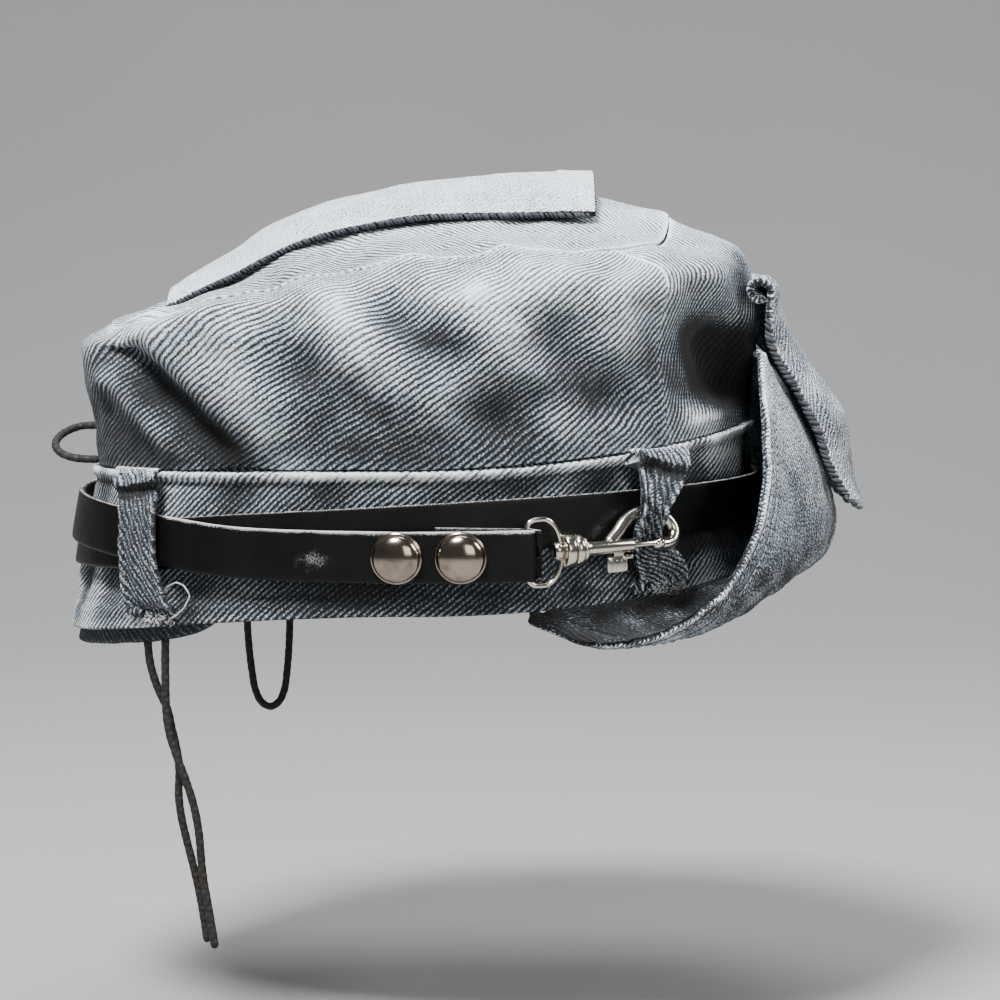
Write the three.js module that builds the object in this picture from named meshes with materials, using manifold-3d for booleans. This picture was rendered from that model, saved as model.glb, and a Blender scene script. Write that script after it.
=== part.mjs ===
// Denim biker cap with a turned-up visor, a leather strap wound twice round its band and a swivel snap.
// Millimetres, +Z up. The front is -Y and the wearer's right is -X.
// The origin is the centre of the head opening, at the height where the rim meets the brow.
// An angle round the cap is in degrees: 0 front, 90 wearer's right, 180 back, 270 wearer's left.

import * as THREE from 'three';
import { mergeVertices } from 'three/addons/utils/BufferGeometryUtils.js';
import Module from 'manifold-3d';

const wasm = await Module();
wasm.setup();

// Driving dimensions.
const GAP = 0.3;
const HEAD_HALF_LENGTH = 101;
const HEAD_HALF_WIDTH = 81;
const CROWN_WALL = 1.8;
const BAND_WALL = 2.2;
const VISOR_WALL = 2.5;
const STRIP_WALL = 2.4;
const LEATHER_WALL = 1.8;
const LEATHER_WIDTH = 14;
const LOOP_WIDTH = 16;
const LOOP_WALL = 1.6;
const CORD_DIAMETER = 2.3;
const RIVET_RADIUS = 7.1;
const RIVET_HEIGHT = 4.2;
const SNAP_WIRE = 1.5;
const HOOK_WIRE = 2.6;
const BARREL_RADIUS = 2.0;
const BORE_RADIUS = 1.2;
const BOLT_RADIUS = 0.9;

// Heights of the band's two edges at the front, side and back.
const BAND_RIM = { front: 12, side: 4.5, back: -6.5 };
const BAND_TOP = { front: 54, side: 44, back: 40.5 };
// How far the band leans in, in millimetres for each millimetre of height.
const BAND_LEAN = { front: 0.05, side: 0.02, back: 0.17 };
const WELT_RISE = 0.8;

// The crown from the band's top (level 0) to the seam round the top panel (level 1).
const CROWN_LEVELS = [
  { level: 0.0, frontY: 97.8, frontZ: 54.3, sideX: 80, sideZ: 44.3, backY: 92.9, backZ: 40.8 },
  { level: 0.2, frontY: 97.8, frontZ: 66, sideX: 84, sideZ: 56, backY: 94.2, backZ: 50 },
  { level: 0.4, frontY: 97.7, frontZ: 78, sideX: 86, sideZ: 69, backY: 96, backZ: 60 },
  { level: 0.6, frontY: 97.4, frontZ: 91, sideX: 84, sideZ: 82, backY: 97.4, backZ: 69 },
  { level: 0.8, frontY: 92.5, frontZ: 103.5, sideX: 76, sideZ: 93.5, backY: 96.4, backZ: 76.5 },
  { level: 1.0, frontY: 74, frontZ: 112, sideX: 61, sideZ: 102, backY: 89, backZ: 82 },
];
const TOP_SQUARENESS = 2.5;
const TOP_CENTRE_Y = -5;

// The crown's highest line, seen from the side.
const TOP_PROFILE = [
  { y: -78, z: 111 },
  { y: -66, z: 116 },
  { y: -52, z: 119 },
  { y: -36, z: 119.6 },
  { y: -17, z: 119.3 },
  { y: 2, z: 118 },
  { y: 17, z: 115.8 },
  { y: 30, z: 112 },
  { y: 43, z: 106 },
  { y: 53, z: 99.8 },
  { y: 62, z: 94.5 },
  { y: 71, z: 89 },
  { y: 90, z: 81.7 },
];
// The top panel falls away from that line by this much at the seam.
const TOP_FALL = 20.4;
const TOP_FALL_LENGTH = 38;
const TOP_RIDGE_ROUND = 6;

// Folds and dents of the crown: a line from one place to the other, its half-width and its height.
const SIDE_FOLDS = [
  { y0: 80, z0: 79, y1: 60, z1: 63, width: 7, rise: -6 },
  { y0: 60, z0: 63, y1: 44, z1: 42, width: 7, rise: -5 },
  { y0: 80, z0: 66, y1: 58, z1: 47, width: 8, rise: 2.6 },
  { y0: 32, z0: 76, y1: 24, z1: 62, width: 11, rise: -3.2 },
  { y0: 6, z0: 90, y1: -4, z1: 80, width: 11, rise: -3 },
  { y0: -14, z0: 72, y1: -30, z1: 54, width: 11, rise: -3 },
  { y0: -40, z0: 78, y1: -52, z1: 62, width: 11, rise: -3.2 },
  { y0: 14, z0: 70, y1: 2, z1: 56, width: 11, rise: 1.8 },
  { y0: -66, z0: 92, y1: -72, z1: 74, width: 8, rise: -2.6 },
  { y0: -84, z0: 79, y1: -88, z1: 66, width: 11, rise: -8 },
  { y0: -78, z0: 57, y1: -92, z1: 60, width: 6, rise: 1.5 },
];

// The visor's sections: control point and free edge, outward from the rim's oval and upward.
const VISOR_SECTIONS = [
  { angle: 0, bendOut: 43, bendZ: 8, edgeOut: -1.2, edgeZ: 73 },
  { angle: 12, bendOut: 43, bendZ: 7, edgeOut: -0.2, edgeZ: 74 },
  { angle: 20, bendOut: 42, bendZ: 5, edgeOut: 4, edgeZ: 72 },
  { angle: 24, bendOut: 40, bendZ: 3, edgeOut: 7, edgeZ: 65 },
  { angle: 28, bendOut: 36, bendZ: -1, edgeOut: 12, edgeZ: 52 },
  { angle: 33, bendOut: 32, bendZ: -3, edgeOut: 18, edgeZ: 37 },
  { angle: 38, bendOut: 26, bendZ: -7, edgeOut: 21, edgeZ: 24 },
  { angle: 45, bendOut: 18, bendZ: -10, edgeOut: 21, edgeZ: 10 },
  { angle: 52, bendOut: 10, bendZ: -8, edgeOut: 17, edgeZ: 1 },
  { angle: 58, bendOut: 6, bendZ: -5, edgeOut: 12, edgeZ: -2.5 },
  { angle: 64, bendOut: 3, bendZ: -1, edgeOut: 6, edgeZ: -2 },
  { angle: 69, bendOut: 0, bendZ: 2.4, edgeOut: 1.5, edgeZ: 1.2 },
];
const VISOR_ROOT_OUT = -1.1;
const VISOR_ROOT_DROP = 1.8;

// The strap along the top of the crown, from its back end to its front end: outer face.
const STRIP_HALF_WIDTH = 26;
const STRIP_SECTIONS = [
  { y: 71, middleZ: 92.4, edgeZ: 89 },
  { y: 62, middleZ: 97.9, edgeZ: 94.4 },
  { y: 53, middleZ: 103.3, edgeZ: 99.2 },
  { y: 43, middleZ: 110, edgeZ: 104 },
  { y: 28, middleZ: 116.2, edgeZ: 109.6 },
  { y: 15, middleZ: 119.7, edgeZ: 112.4 },
  { y: 2, middleZ: 122.2, edgeZ: 113.4 },
  { y: -17, middleZ: 124.4, edgeZ: 113.8 },
  { y: -38, middleZ: 126, edgeZ: 114.2 },
  { y: -52, middleZ: 125.6, edgeZ: 114 },
];

// The front tab's outer face from its lower end up to its roll: its middle line and its edges.
const TAB_HALF_WIDTH = 25;
const TAB_SECTIONS = [
  { step: 0, middleY: -131.8, middleZ: 27, edgeY: -126, edgeZ: 31.5 },
  { step: 1, middleY: -129.5, middleZ: 33.5, edgeY: -122.6, edgeZ: 37 },
  { step: 2, middleY: -127.8, middleZ: 41, edgeY: -119.6, edgeZ: 43 },
  { step: 3, middleY: -126.4, middleZ: 51, edgeY: -117, edgeZ: 51 },
  { step: 4, middleY: -124, middleZ: 58, edgeY: -114, edgeZ: 57 },
  { step: 5, middleY: -119, middleZ: 64, edgeY: -110.6, edgeZ: 63.5 },
  { step: 6, middleY: -115, middleZ: 70, edgeY: -106, edgeZ: 70.5 },
  { step: 7, middleY: -110.4, middleZ: 78, edgeY: -103, edgeZ: 77.6 },
  { step: 8, middleY: -106.6, middleZ: 86, edgeY: -102.6, edgeZ: 85 },
];
const ROLL_RADIUS = 2.9;
const ROLL_Z = 91;
const ROLL_MIDDLE_Y = -101.9;
const ROLL_EDGE_Y = -98.9;
const ROLL_TURN = 225;

// The leather strap's route: angle round the cap, stand-off of its middle from the band, height.
const STRAP_ROUTE = [
  { angle: 78, out: 7.9, z: 21.5 },
  { angle: 82, out: 6.4, z: 21.4 },
  { angle: 86, out: 5.5, z: 21.3 },
  { angle: 90, out: 5.1, z: 21.2 },
  { angle: 94, out: 4.2, z: 21.2 },
  { angle: 98, out: 3.5, z: 21.2 },
  { angle: 104, out: 3.3, z: 21.2 },
  { angle: 120, out: 3.3, z: 21.6 },
  { angle: 135, out: 3.3, z: 23.5 },
  { angle: 157, out: 3.3, z: 25.6 },
  { angle: 180, out: 3.3, z: 26.8 },
  { angle: 215, out: 3.3, z: 28.6 },
  { angle: 240, out: 3.2, z: 30 },
  { angle: 255, out: 1.2, z: 30.6 },
  { angle: 300, out: 1.2, z: 31.4 },
  { angle: 360, out: 1.2, z: 32 },
  { angle: 400, out: 1.2, z: 31.4 },
  { angle: 430, out: 1.2, z: 29.8 },
  { angle: 455, out: 1.2, z: 27.6 },
  { angle: 480, out: 1.2, z: 24.6 },
  { angle: 500, out: 1.2, z: 21.6 },
  { angle: 540, out: 1.2, z: 18.6 },
  { angle: 575, out: 1.2, z: 15.8 },
  { angle: 600, out: 1.2, z: 15 },
  { angle: 652, out: 1.2, z: 14.8 },
];
const STRAP_STEP = 5;
// The folded-back end, under the outer turn, up to the fold round the eye.
const FOLDED_END = [
  { angle: 86, out: 3.3, z: 22.2 },
  { angle: 82, out: 3.6, z: 22.1 },
  { angle: 79, out: 4.3, z: 22 },
];
const FOLD_RADIUS = 2.4;
const FOLD_STEPS = 6;

// Belt loops: share of the band's height, stand-off of the cloth's middle, share of the full width,
// and how many degrees the loop leans to the back there.
const LOOP_ROUTE = [
  { share: 0.06, out: 1.15, width: 1.1, turn: -3 },
  { share: 0.12, out: 1.6, width: 1.1, turn: -3 },
  { share: 0.2, out: 4.2, width: 1.05, turn: -2.2 },
  { share: 0.45, out: 5.7, width: 0.92, turn: -0.4 },
  { share: 0.72, out: 5.6, width: 0.9, turn: 1.2 },
  { share: 0.84, out: 4, width: 0.98, turn: 2.6 },
  { share: 0.93, out: 2.6, width: 1.08, turn: 3.4 },
  { share: 1, out: 2.1, width: 1.08, turn: 3.7 },
];
const LEFT_REAR_LOOP_ROUTE = [
  { share: 0.04, out: 1.15, width: 1.1, turn: -3 },
  { share: 0.09, out: 1.5, width: 1.1, turn: -3 },
  { share: 0.17, out: 3.7, width: 1.05, turn: -2.2 },
  { share: 0.45, out: 5.4, width: 0.92, turn: -0.4 },
  { share: 0.72, out: 5.7, width: 0.9, turn: 1.2 },
  { share: 0.87, out: 5.5, width: 0.96, turn: 2.6 },
  { share: 0.94, out: 3.4, width: 1.08, turn: 3.4 },
  { share: 1, out: 2.1, width: 1.08, turn: 3.7 },
];
const HOOKED_LOOP_ROUTE = [
  { share: 0.07, out: 1.4, width: 1.16, turn: -4.2 },
  { share: 0.13, out: 2.5, width: 1.12, turn: -4 },
  { share: 0.22, out: 4.2, width: 0.92, turn: -2.8 },
  { share: 0.34, out: 5, width: 0.66, turn: -0.8 },
  { share: 0.435, out: 6, width: 0.55, turn: -0.2 },
  { share: 0.53, out: 7.8, width: 0.54, turn: -0.2 },
  { share: 0.66, out: 9, width: 0.56, turn: -0.6 },
  { share: 0.77, out: 7.6, width: 0.78, turn: -2 },
  { share: 0.91, out: 4.2, width: 1.1, turn: -3.8 },
  { share: 1, out: 2.1, width: 1.16, turn: -4 },
];
const REAR_LOOP_ANGLE = 42;
const FRONT_LOOP_ANGLE = 51.9;

// The snap: the middle of its eye, and the direction of its axis towards the hook.
const SNAP_PLACE = new THREE.Vector3(-82.4, -36.5, 22.4);
const SNAP_AXIS = new THREE.Vector3(0.364, -0.931, 0.04).normalize();
const EYE_HALF_LENGTH = 5.2;
const EYE_HALF_HEIGHT = 9;
const EYE_STRAP_SIDE = 0.28;
const EYE_HOOK_SIDE = 0.8;
const COLLAR_START = 5.4;
const COLLAR_LENGTH = 2.8;
const BARREL_START = 12.2;
const BARREL_END = 26.4;
const BOLT_END = 33.1;

// Cord routes, chosen by hand. Both tails come out of the casing on the wearer's right.
const TAIL_A_ROUTE = [
  [-50.3, 74, -6.1], [-50.2, 73.4, -12], [-50, 71.4, -19], [-49.6, 68.8, -25], [-50, 67.4, -31],
  [-50.6, 66, -37], [-51, 65.4, -43], [-51.2, 65.6, -49], [-51, 65, -55], [-50.6, 63.8, -61],
  [-50.2, 62.4, -67], [-50, 61, -73], [-50, 59.8, -79], [-50.2, 58.8, -85], [-50.3, 58, -90.5],
];
const TAIL_B_ROUTE = [
  [-54.9, 68.6, -5.1], [-54.8, 68.7, -11], [-54.6, 68.7, -18.5], [-54.2, 68.6, -25], [-54.4, 67.8, -31],
  [-54.6, 66, -37], [-54.8, 63.8, -43], [-54.8, 61.8, -49], [-54.6, 60.4, -55], [-54.2, 59.6, -61],
  [-53.8, 59.2, -67], [-53.6, 58.6, -73], [-53.6, 57.6, -79], [-53.6, 56.6, -85], [-53.7, 55.6, -91.5],
];
const BACK_LOOP_ROUTE = [
  [-12, 92.5, 42.3], [-12.4, 96.6, 42.5], [-12.2, 99.4, 42.9], [-10.8, 102, 43.6], [-7.6, 104.2, 44.7],
  [-3, 105.4, 46], [2.2, 105.4, 47.4], [7, 104, 48.8], [10.4, 101.6, 49.9], [11.9, 99, 50.5],
  [12.1, 96.6, 50.6], [12, 93.9, 50.6],
];
const SIDE_LOOP_ROUTE = [
  [64.6, 54.4, 0.6], [64.2, 54.6, -4], [63.6, 54.7, -10], [62.8, 54.4, -17], [62, 53.8, -24],
  [61.2, 53, -30], [60.6, 52, -35.4], [60.3, 50, -39.4], [60.2, 47.3, -40.8], [60.4, 44.7, -39.4],
  [60.8, 42.9, -35.6], [61.6, 42, -29], [62.8, 41.5, -22], [64.2, 41.3, -15], [65.8, 41.3, -8],
  [67.4, 41.4, -2], [68.5, 41.5, 2.4],
];

// Numbers and tables.

function radians(degrees) {
  return degrees * Math.PI / 180;
}

function smooth(edge0, edge1, value) {
  return THREE.MathUtils.smoothstep(value, edge0, edge1);
}

// A cosine or sine pushed towards one, which squares off an oval. Tiny values count as zero.
function squared(value, power) {
  return Math.abs(value) < 1e-9 ? 0 : Math.sign(value) * Math.abs(value) ** power;
}

// Every column of a table at one value of its key column, on a smooth curve through the rows.
function rowAt(rows, key, value) {
  const last = rows.length - 1;
  const rising = rows[last][key] > rows[0][key];
  let i = 0;
  while (i < last - 1 && (rising ? value > rows[i + 1][key] : value < rows[i + 1][key])) {
    i += 1;
  }
  const span = rows[i + 1][key] - rows[i][key];
  const t = THREE.MathUtils.clamp((value - rows[i][key]) / span, 0, 1);
  const result = {};
  for (const name of Object.keys(rows[0])) {
    const slope = (j) => {
      const before = rows[Math.max(j - 1, 0)];
      const after = rows[Math.min(j + 1, last)];
      return (after[name] - before[name]) / (after[key] - before[key]) * span;
    };
    const t2 = t * t;
    const t3 = t2 * t;
    result[name] = (2 * t3 - 3 * t2 + 1) * rows[i][name] + (t3 - 2 * t2 + t) * slope(i)
      + (3 * t2 - 2 * t3) * rows[i + 1][name] + (t3 - t2) * slope(i + 1);
  }
  return result;
}

// Share of front, side and back in a direction round the cap. They add up to one.
function shares(angle) {
  const c = Math.cos(radians(angle));
  return { front: Math.max(c, 0) ** 2, side: 1 - c * c, back: Math.max(-c, 0) ** 2 };
}

function blended(sizes, angle) {
  const share = shares(angle);
  return sizes.front * share.front + sizes.side * share.side + sizes.back * share.back;
}

// The band.

function bandPoint(angle, z, out = 0) {
  const height = z - BAND_RIM.back;
  const c = Math.cos(radians(angle));
  const s = Math.sin(radians(angle));
  const lean = c > 0 ? BAND_LEAN.front : BAND_LEAN.back;
  const halfLength = HEAD_HALF_LENGTH - lean * height;
  const halfWidth = HEAD_HALF_WIDTH - BAND_LEAN.side * height;
  const normal = new THREE.Vector3(-s / halfWidth, -c / halfLength, 0).normalize();
  return new THREE.Vector3(-halfWidth * s, -halfLength * c, z).addScaledVector(normal, out);
}

function bandNormal(angle, z) {
  return bandPoint(angle, z, 1).sub(bandPoint(angle, z, 0));
}

// The crown's surface without its folds: level 0 at the band, 1 at the top seam, 2 at the centre.

function topHeight(x, y) {
  const eased = Math.sqrt(x * x + TOP_RIDGE_ROUND ** 2) - TOP_RIDGE_ROUND;
  const fall = TOP_FALL * (1 - Math.exp(-eased / TOP_FALL_LENGTH));
  return rowAt(TOP_PROFILE, 'y', y).z - fall * (1 - 0.75 * smooth(20, 89, y));
}

function crownRing(angle, level) {
  const row = rowAt(CROWN_LEVELS, 'level', level);
  const c = Math.cos(radians(angle));
  const s = Math.sin(radians(angle));
  const power = 2 / (2 + (TOP_SQUARENESS - 2) * smooth(0.5, 1, level));
  const halfLength = c > 0 ? row.frontY : row.backY;
  const x = -row.sideX * squared(s, power);
  const y = -halfLength * squared(c, power);
  const z = blended({ front: row.frontZ, side: row.sideZ, back: row.backZ }, angle);
  return new THREE.Vector3(x, y, z);
}

function smoothCrown(angle, level) {
  const seam = crownRing(angle, 1);
  if (level > 1) {
    const inward = Math.min(level - 1, 1);
    const x = seam.x * (1 - inward);
    const y = TOP_CENTRE_Y + (seam.y - TOP_CENTRE_Y) * (1 - inward);
    return new THREE.Vector3(x, y, topHeight(x, y));
  }
  const point = crownRing(angle, Math.max(level, 0));
  point.z += (topHeight(seam.x, seam.y) - seam.z) * Math.max(level, 0) ** 3;
  return point;
}

function surfaceNormal(surface, u, v, du, dv) {
  const along = surface(u + du, v).sub(surface(u - du, v));
  const across = surface(u, v + dv).sub(surface(u, v - dv));
  return along.cross(across).normalize();
}

function crownNormal(angle, level) {
  const v = THREE.MathUtils.clamp(level, 0.03, 1.97);
  const normal = surfaceNormal(smoothCrown, angle, v, 1, 0.03);
  const outward = new THREE.Vector3(0, 0, -30).negate().add(smoothCrown(angle, v));
  return normal.dot(outward) < 0 ? normal.negate() : normal;
}

// Height of the folds at a place: distance to each fold's line decides its share.
function foldHeight(point) {
  let height = 0;
  for (const fold of SIDE_FOLDS) {
    const alongY = fold.y1 - fold.y0;
    const alongZ = fold.z1 - fold.z0;
    const reach = ((point.y - fold.y0) * alongY + (point.z - fold.z0) * alongZ) / (alongY ** 2 + alongZ ** 2);
    const t = THREE.MathUtils.clamp(reach, 0, 1);
    const offY = point.y - fold.y0 - t * alongY;
    const offZ = point.z - fold.z0 - t * alongZ;
    height += fold.rise * Math.exp(-(offY ** 2 + offZ ** 2) / fold.width ** 2);
  }
  return height * smooth(12, 34, Math.abs(point.x));
}

function crownPoint(angle, level, inward) {
  const point = smoothCrown(angle, level);
  const share = 0.3 + 0.7 * smooth(0, 0.2, level);
  return point.addScaledVector(crownNormal(angle, level), foldHeight(point) * share - inward);
}

// Solids.

function geometryFrom(points, faces) {
  let volume = 0;
  for (const [i, j, k] of faces) {
    volume += points[i].dot(points[j].clone().cross(points[k]));
  }
  const index = faces.flatMap(([i, j, k]) => (volume > 0 ? [i, j, k] : [i, k, j]));
  const geometry = new THREE.BufferGeometry();
  geometry.setAttribute('position', new THREE.Float32BufferAttribute(points.flatMap((p) => p.toArray()), 3));
  geometry.setIndex(index);
  geometry.computeVertexNormals();
  return geometry;
}

// A closed wall between an outer and an inner sheet, each a function of u and v.
// A closed sheet joins its last column to its first, and a pole ends its last row in one point.
function wall(outer, inner, uValues, vValues, closed = false, pole = false) {
  const columns = uValues.length;
  const rows = pole ? vValues.length - 1 : vValues.length;
  const points = [];
  const faces = [];
  for (const sheet of [outer, inner]) {
    for (let j = 0; j < rows; j += 1) {
      for (const u of uValues) {
        points.push(sheet(u, vValues[j]));
      }
    }
    if (pole) {
      points.push(sheet(uValues[0], vValues[rows]));
    }
  }
  const sheetSize = columns * rows + (pole ? 1 : 0);
  const at = (i, j) => (i % columns) + j * columns;
  const outerFaces = [];
  const lastColumn = closed ? columns : columns - 1;
  for (let i = 0; i < lastColumn; i += 1) {
    for (let j = 0; j < rows - 1; j += 1) {
      outerFaces.push([at(i, j), at(i + 1, j), at(i + 1, j + 1)]);
      outerFaces.push([at(i, j), at(i + 1, j + 1), at(i, j + 1)]);
    }
    if (pole) {
      outerFaces.push([at(i, rows - 1), at(i + 1, rows - 1), sheetSize - 1]);
    }
  }
  const edges = new Map();
  for (const [i, j, k] of outerFaces) {
    faces.push([i, j, k]);
    faces.push([i + sheetSize, k + sheetSize, j + sheetSize]);
    for (const [from, to] of [[i, j], [j, k], [k, i]]) {
      if (!edges.delete(`${to},${from}`)) {
        edges.set(`${from},${to}`, [from, to]);
      }
    }
  }
  for (const [from, to] of edges.values()) {
    faces.push([to, from, from + sheetSize]);
    faces.push([to, from + sheetSize, to + sheetSize]);
  }
  return geometryFrom(points, faces);
}

// A strip of cloth or leather along a route: its width lies along `across` at each point.
function ribbon(points, across, widths, thickness) {
  const corners = [];
  const faces = [];
  const last = points.length - 1;
  points.forEach((point, i) => {
    const tangent = points[Math.min(i + 1, last)].clone().sub(points[Math.max(i - 1, 0)]).normalize();
    const side = across[i].clone().addScaledVector(tangent, -across[i].dot(tangent)).normalize();
    const normal = tangent.clone().cross(side);
    for (const [w, t] of [[-0.5, -0.5], [0.5, -0.5], [0.5, 0.5], [-0.5, 0.5]]) {
      const corner = point.clone().addScaledVector(side, w * widths[i]);
      corners.push(corner.addScaledVector(normal, t * thickness));
    }
  });
  for (let i = 0; i < last; i += 1) {
    for (let k = 0; k < 4; k += 1) {
      const a = i * 4 + k;
      const b = i * 4 + (k + 1) % 4;
      faces.push([a, b, b + 4], [a, b + 4, a + 4]);
    }
  }
  const end = last * 4;
  faces.push([0, 3, 2], [0, 2, 1], [end, end + 1, end + 2], [end, end + 2, end + 3]);
  return geometryFrom(corners, faces);
}

// A round wire or cord along a smooth curve through the points.
function roundTube(points, radius, sides, steps) {
  const circle = new THREE.Shape();
  for (let i = 0; i < sides; i += 1) {
    const turn = 2 * Math.PI * i / sides;
    const place = [radius * Math.cos(turn), radius * Math.sin(turn)];
    if (i === 0) {
      circle.moveTo(...place);
    } else {
      circle.lineTo(...place);
    }
  }
  circle.closePath();
  const path = new THREE.CatmullRomCurve3(points);
  return new THREE.ExtrudeGeometry(circle, { steps, extrudePath: path, curveSegments: 1 });
}

function range(first, last, count) {
  return Array.from({ length: count + 1 }, (_, i) => first + (last - first) * i / count);
}

// Booleans.

function toSolid(geometry) {
  const bare = geometry.clone();
  bare.deleteAttribute('normal');
  bare.deleteAttribute('uv');
  const merged = mergeVertices(bare, 1e-4);
  const mesh = new wasm.Mesh({
    numProp: 3,
    vertProperties: new Float32Array(merged.attributes.position.array),
    triVerts: new Uint32Array(merged.index.array),
  });
  mesh.merge();
  return new wasm.Manifold(mesh);
}

function toGeometry(solid) {
  const mesh = solid.getMesh();
  const geometry = new THREE.BufferGeometry();
  geometry.setAttribute('position', new THREE.BufferAttribute(new Float32Array(mesh.vertProperties), 3));
  geometry.setIndex(new THREE.BufferAttribute(new Uint32Array(mesh.triVerts), 1));
  geometry.computeVertexNormals();
  return geometry;
}

function joined(...geometries) {
  return toGeometry(geometries.map(toSolid).reduce((sum, solid) => sum.add(solid)));
}

function cutBy(geometry, ...tools) {
  return toGeometry(tools.map(toSolid).reduce((rest, tool) => rest.subtract(tool), toSolid(geometry)));
}

// Materials.

function finish(color, roughness, metalness = 0) {
  return new THREE.MeshStandardMaterial({ color, roughness, metalness });
}

const denim = () => finish(0x727d89, 0.92);
const leather = () => finish(0x15151a, 0.45);
const nickel = () => finish(0xc9c7c2, 0.18, 1);
const waxedCord = () => finish(0x2a211c, 0.7);

const cap = new THREE.Group();

function add(name, geometry, material, parent = cap) {
  const mesh = new THREE.Mesh(geometry, material);
  mesh.name = name;
  parent.add(mesh);
  return mesh;
}

// Crown panels: each is a wall between the crown's surface and the same surface moved inward.

function crownPanel(angles, levels, closed = false, pole = false) {
  const outer = (angle, level) => crownPoint(angle, level, 0);
  const inner = (angle, level) => crownPoint(angle, level, CROWN_WALL);
  return wall(outer, inner, angles, levels, closed, pole);
}

const FRONT_SEAM_ANGLE = 43;
const SEAM_HALF_ANGLE = 0.12;
const SIDE_LEVELS = range(0, 0.998, 10);
const sideAngles = range(FRONT_SEAM_ANGLE + SEAM_HALF_ANGLE, 180 - SEAM_HALF_ANGLE, 29);
const frontAngle = FRONT_SEAM_ANGLE - SEAM_HALF_ANGLE;
add('crown_front', crownPanel(range(-frontAngle, frontAngle, 14), SIDE_LEVELS), denim());
add('crown_side_right', crownPanel(sideAngles, SIDE_LEVELS), denim());
add('crown_side_left', crownPanel(sideAngles.map((angle) => 360 - angle), SIDE_LEVELS), denim());
add('crown_top', crownPanel(range(0, 360, 36).slice(0, -1), range(1.004, 2, 6), true, true), denim());

// Headband with a raised welt along its top.

function bandWall(angle, share, inward) {
  const rim = blended(BAND_RIM, angle);
  const top = blended(BAND_TOP, angle);
  const welt = share > 0.9 && inward === 0 ? WELT_RISE : 0;
  return bandPoint(angle, rim + (top - rim) * share, welt - inward);
}

const bandOuter = (angle, share) => bandWall(angle, share, 0);
const bandInner = (angle, share) => bandWall(angle, share, BAND_WALL);
const bandAngles = range(0, 360, 60).slice(0, -1);
add('headband', wall(bandOuter, bandInner, bandAngles, [0, 0.45, 0.9, 0.93, 1], true), denim());

// Casing for the drawcord, inside the band at the back and a little below its rim.

const CASING_ANGLE = 53;
const CASING_WALL = 2.2;
const CASING_DROP = 4.2;
const CASING_HEIGHT = 17;

function casingWall(angle, share, inward) {
  const rounding = Math.sqrt(1 - 0.98 * Math.abs((angle - 180) / CASING_ANGLE) ** 12);
  const rim = blended(BAND_RIM, angle);
  const z = rim - CASING_DROP + CASING_HEIGHT / 2 + CASING_HEIGHT * (share - 0.5) * rounding;
  return bandPoint(angle, z, -BAND_WALL - GAP - inward);
}

const casingOuter = (angle, share) => casingWall(angle, share, 0);
const casingInner = (angle, share) => casingWall(angle, share, CASING_WALL);
const casingAngles = range(180 - CASING_ANGLE, 180 + CASING_ANGLE, 22);
add('cord_casing', wall(casingOuter, casingInner, casingAngles, range(0, 1, 3)), denim());

// Visor: each section is a curve from the rim, out and up to the free edge.

function visorMiddle(angle, along) {
  const row = rowAt(VISOR_SECTIONS, 'angle', Math.abs(angle));
  const rootZ = blended(BAND_RIM, angle) - VISOR_ROOT_DROP;
  const atRoot = (1 - along) ** 2;
  const atBend = 2 * along * (1 - along);
  const atEdge = along ** 2;
  const out = atRoot * VISOR_ROOT_OUT + atBend * row.bendOut + atEdge * row.edgeOut;
  const z = atRoot * rootZ + atBend * row.bendZ + atEdge * row.edgeZ;
  const onRim = bandPoint(angle, 0);
  return onRim.addScaledVector(bandNormal(angle, 0), out).setZ(z);
}

function visorSheet(side) {
  return (angle, along) => {
    const a = THREE.MathUtils.clamp(angle, -68, 68);
    const t = THREE.MathUtils.clamp(along, 0.02, 0.98);
    const normal = surfaceNormal(visorMiddle, a, t, 1, 0.02);
    return visorMiddle(angle, along).addScaledVector(normal, side * VISOR_WALL / 2);
  };
}

add('visor', wall(visorSheet(1), visorSheet(-1), range(-69, 69, 34), range(0, 1, 8)), denim());

// Strap along the top of the crown.

function stripSheet(inward) {
  const surface = (across, y) => {
    const row = rowAt(STRIP_SECTIONS, 'y', y);
    const z = row.middleZ + (row.edgeZ - row.middleZ) * Math.abs(across) ** 1.8;
    return new THREE.Vector3(across * STRIP_HALF_WIDTH, y, z);
  };
  return (across, y) => {
    const normal = surfaceNormal(surface, across, y, 0.05, 1);
    return surface(across, y).addScaledVector(normal, -inward * Math.sign(normal.z));
  };
}

add('top_strip', wall(stripSheet(0), stripSheet(STRIP_WALL), range(-1, 1, 8), range(71, -52, 18)), denim());

// Front tab: its sheet ends in a roll at the top.

function tabMiddle(across, step) {
  const bow = across * across;
  const flatSteps = TAB_SECTIONS.length - 1;
  if (step <= flatSteps) {
    const row = rowAt(TAB_SECTIONS, 'step', step);
    const y = row.middleY + (row.edgeY - row.middleY) * bow + STRIP_WALL / 2;
    const z = row.middleZ + (row.edgeZ - row.middleZ) * bow;
    return new THREE.Vector3(across * TAB_HALF_WIDTH, y, z);
  }
  const turn = radians(180 - (step - flatSteps - 0.5) * 45);
  const y = ROLL_MIDDLE_Y + (ROLL_EDGE_Y - ROLL_MIDDLE_Y) * bow + ROLL_RADIUS * Math.cos(turn);
  return new THREE.Vector3(across * TAB_HALF_WIDTH, y, ROLL_Z + ROLL_RADIUS * Math.sin(turn));
}

const TAB_STEPS = TAB_SECTIONS.length - 1 + ROLL_TURN / 45;

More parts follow.
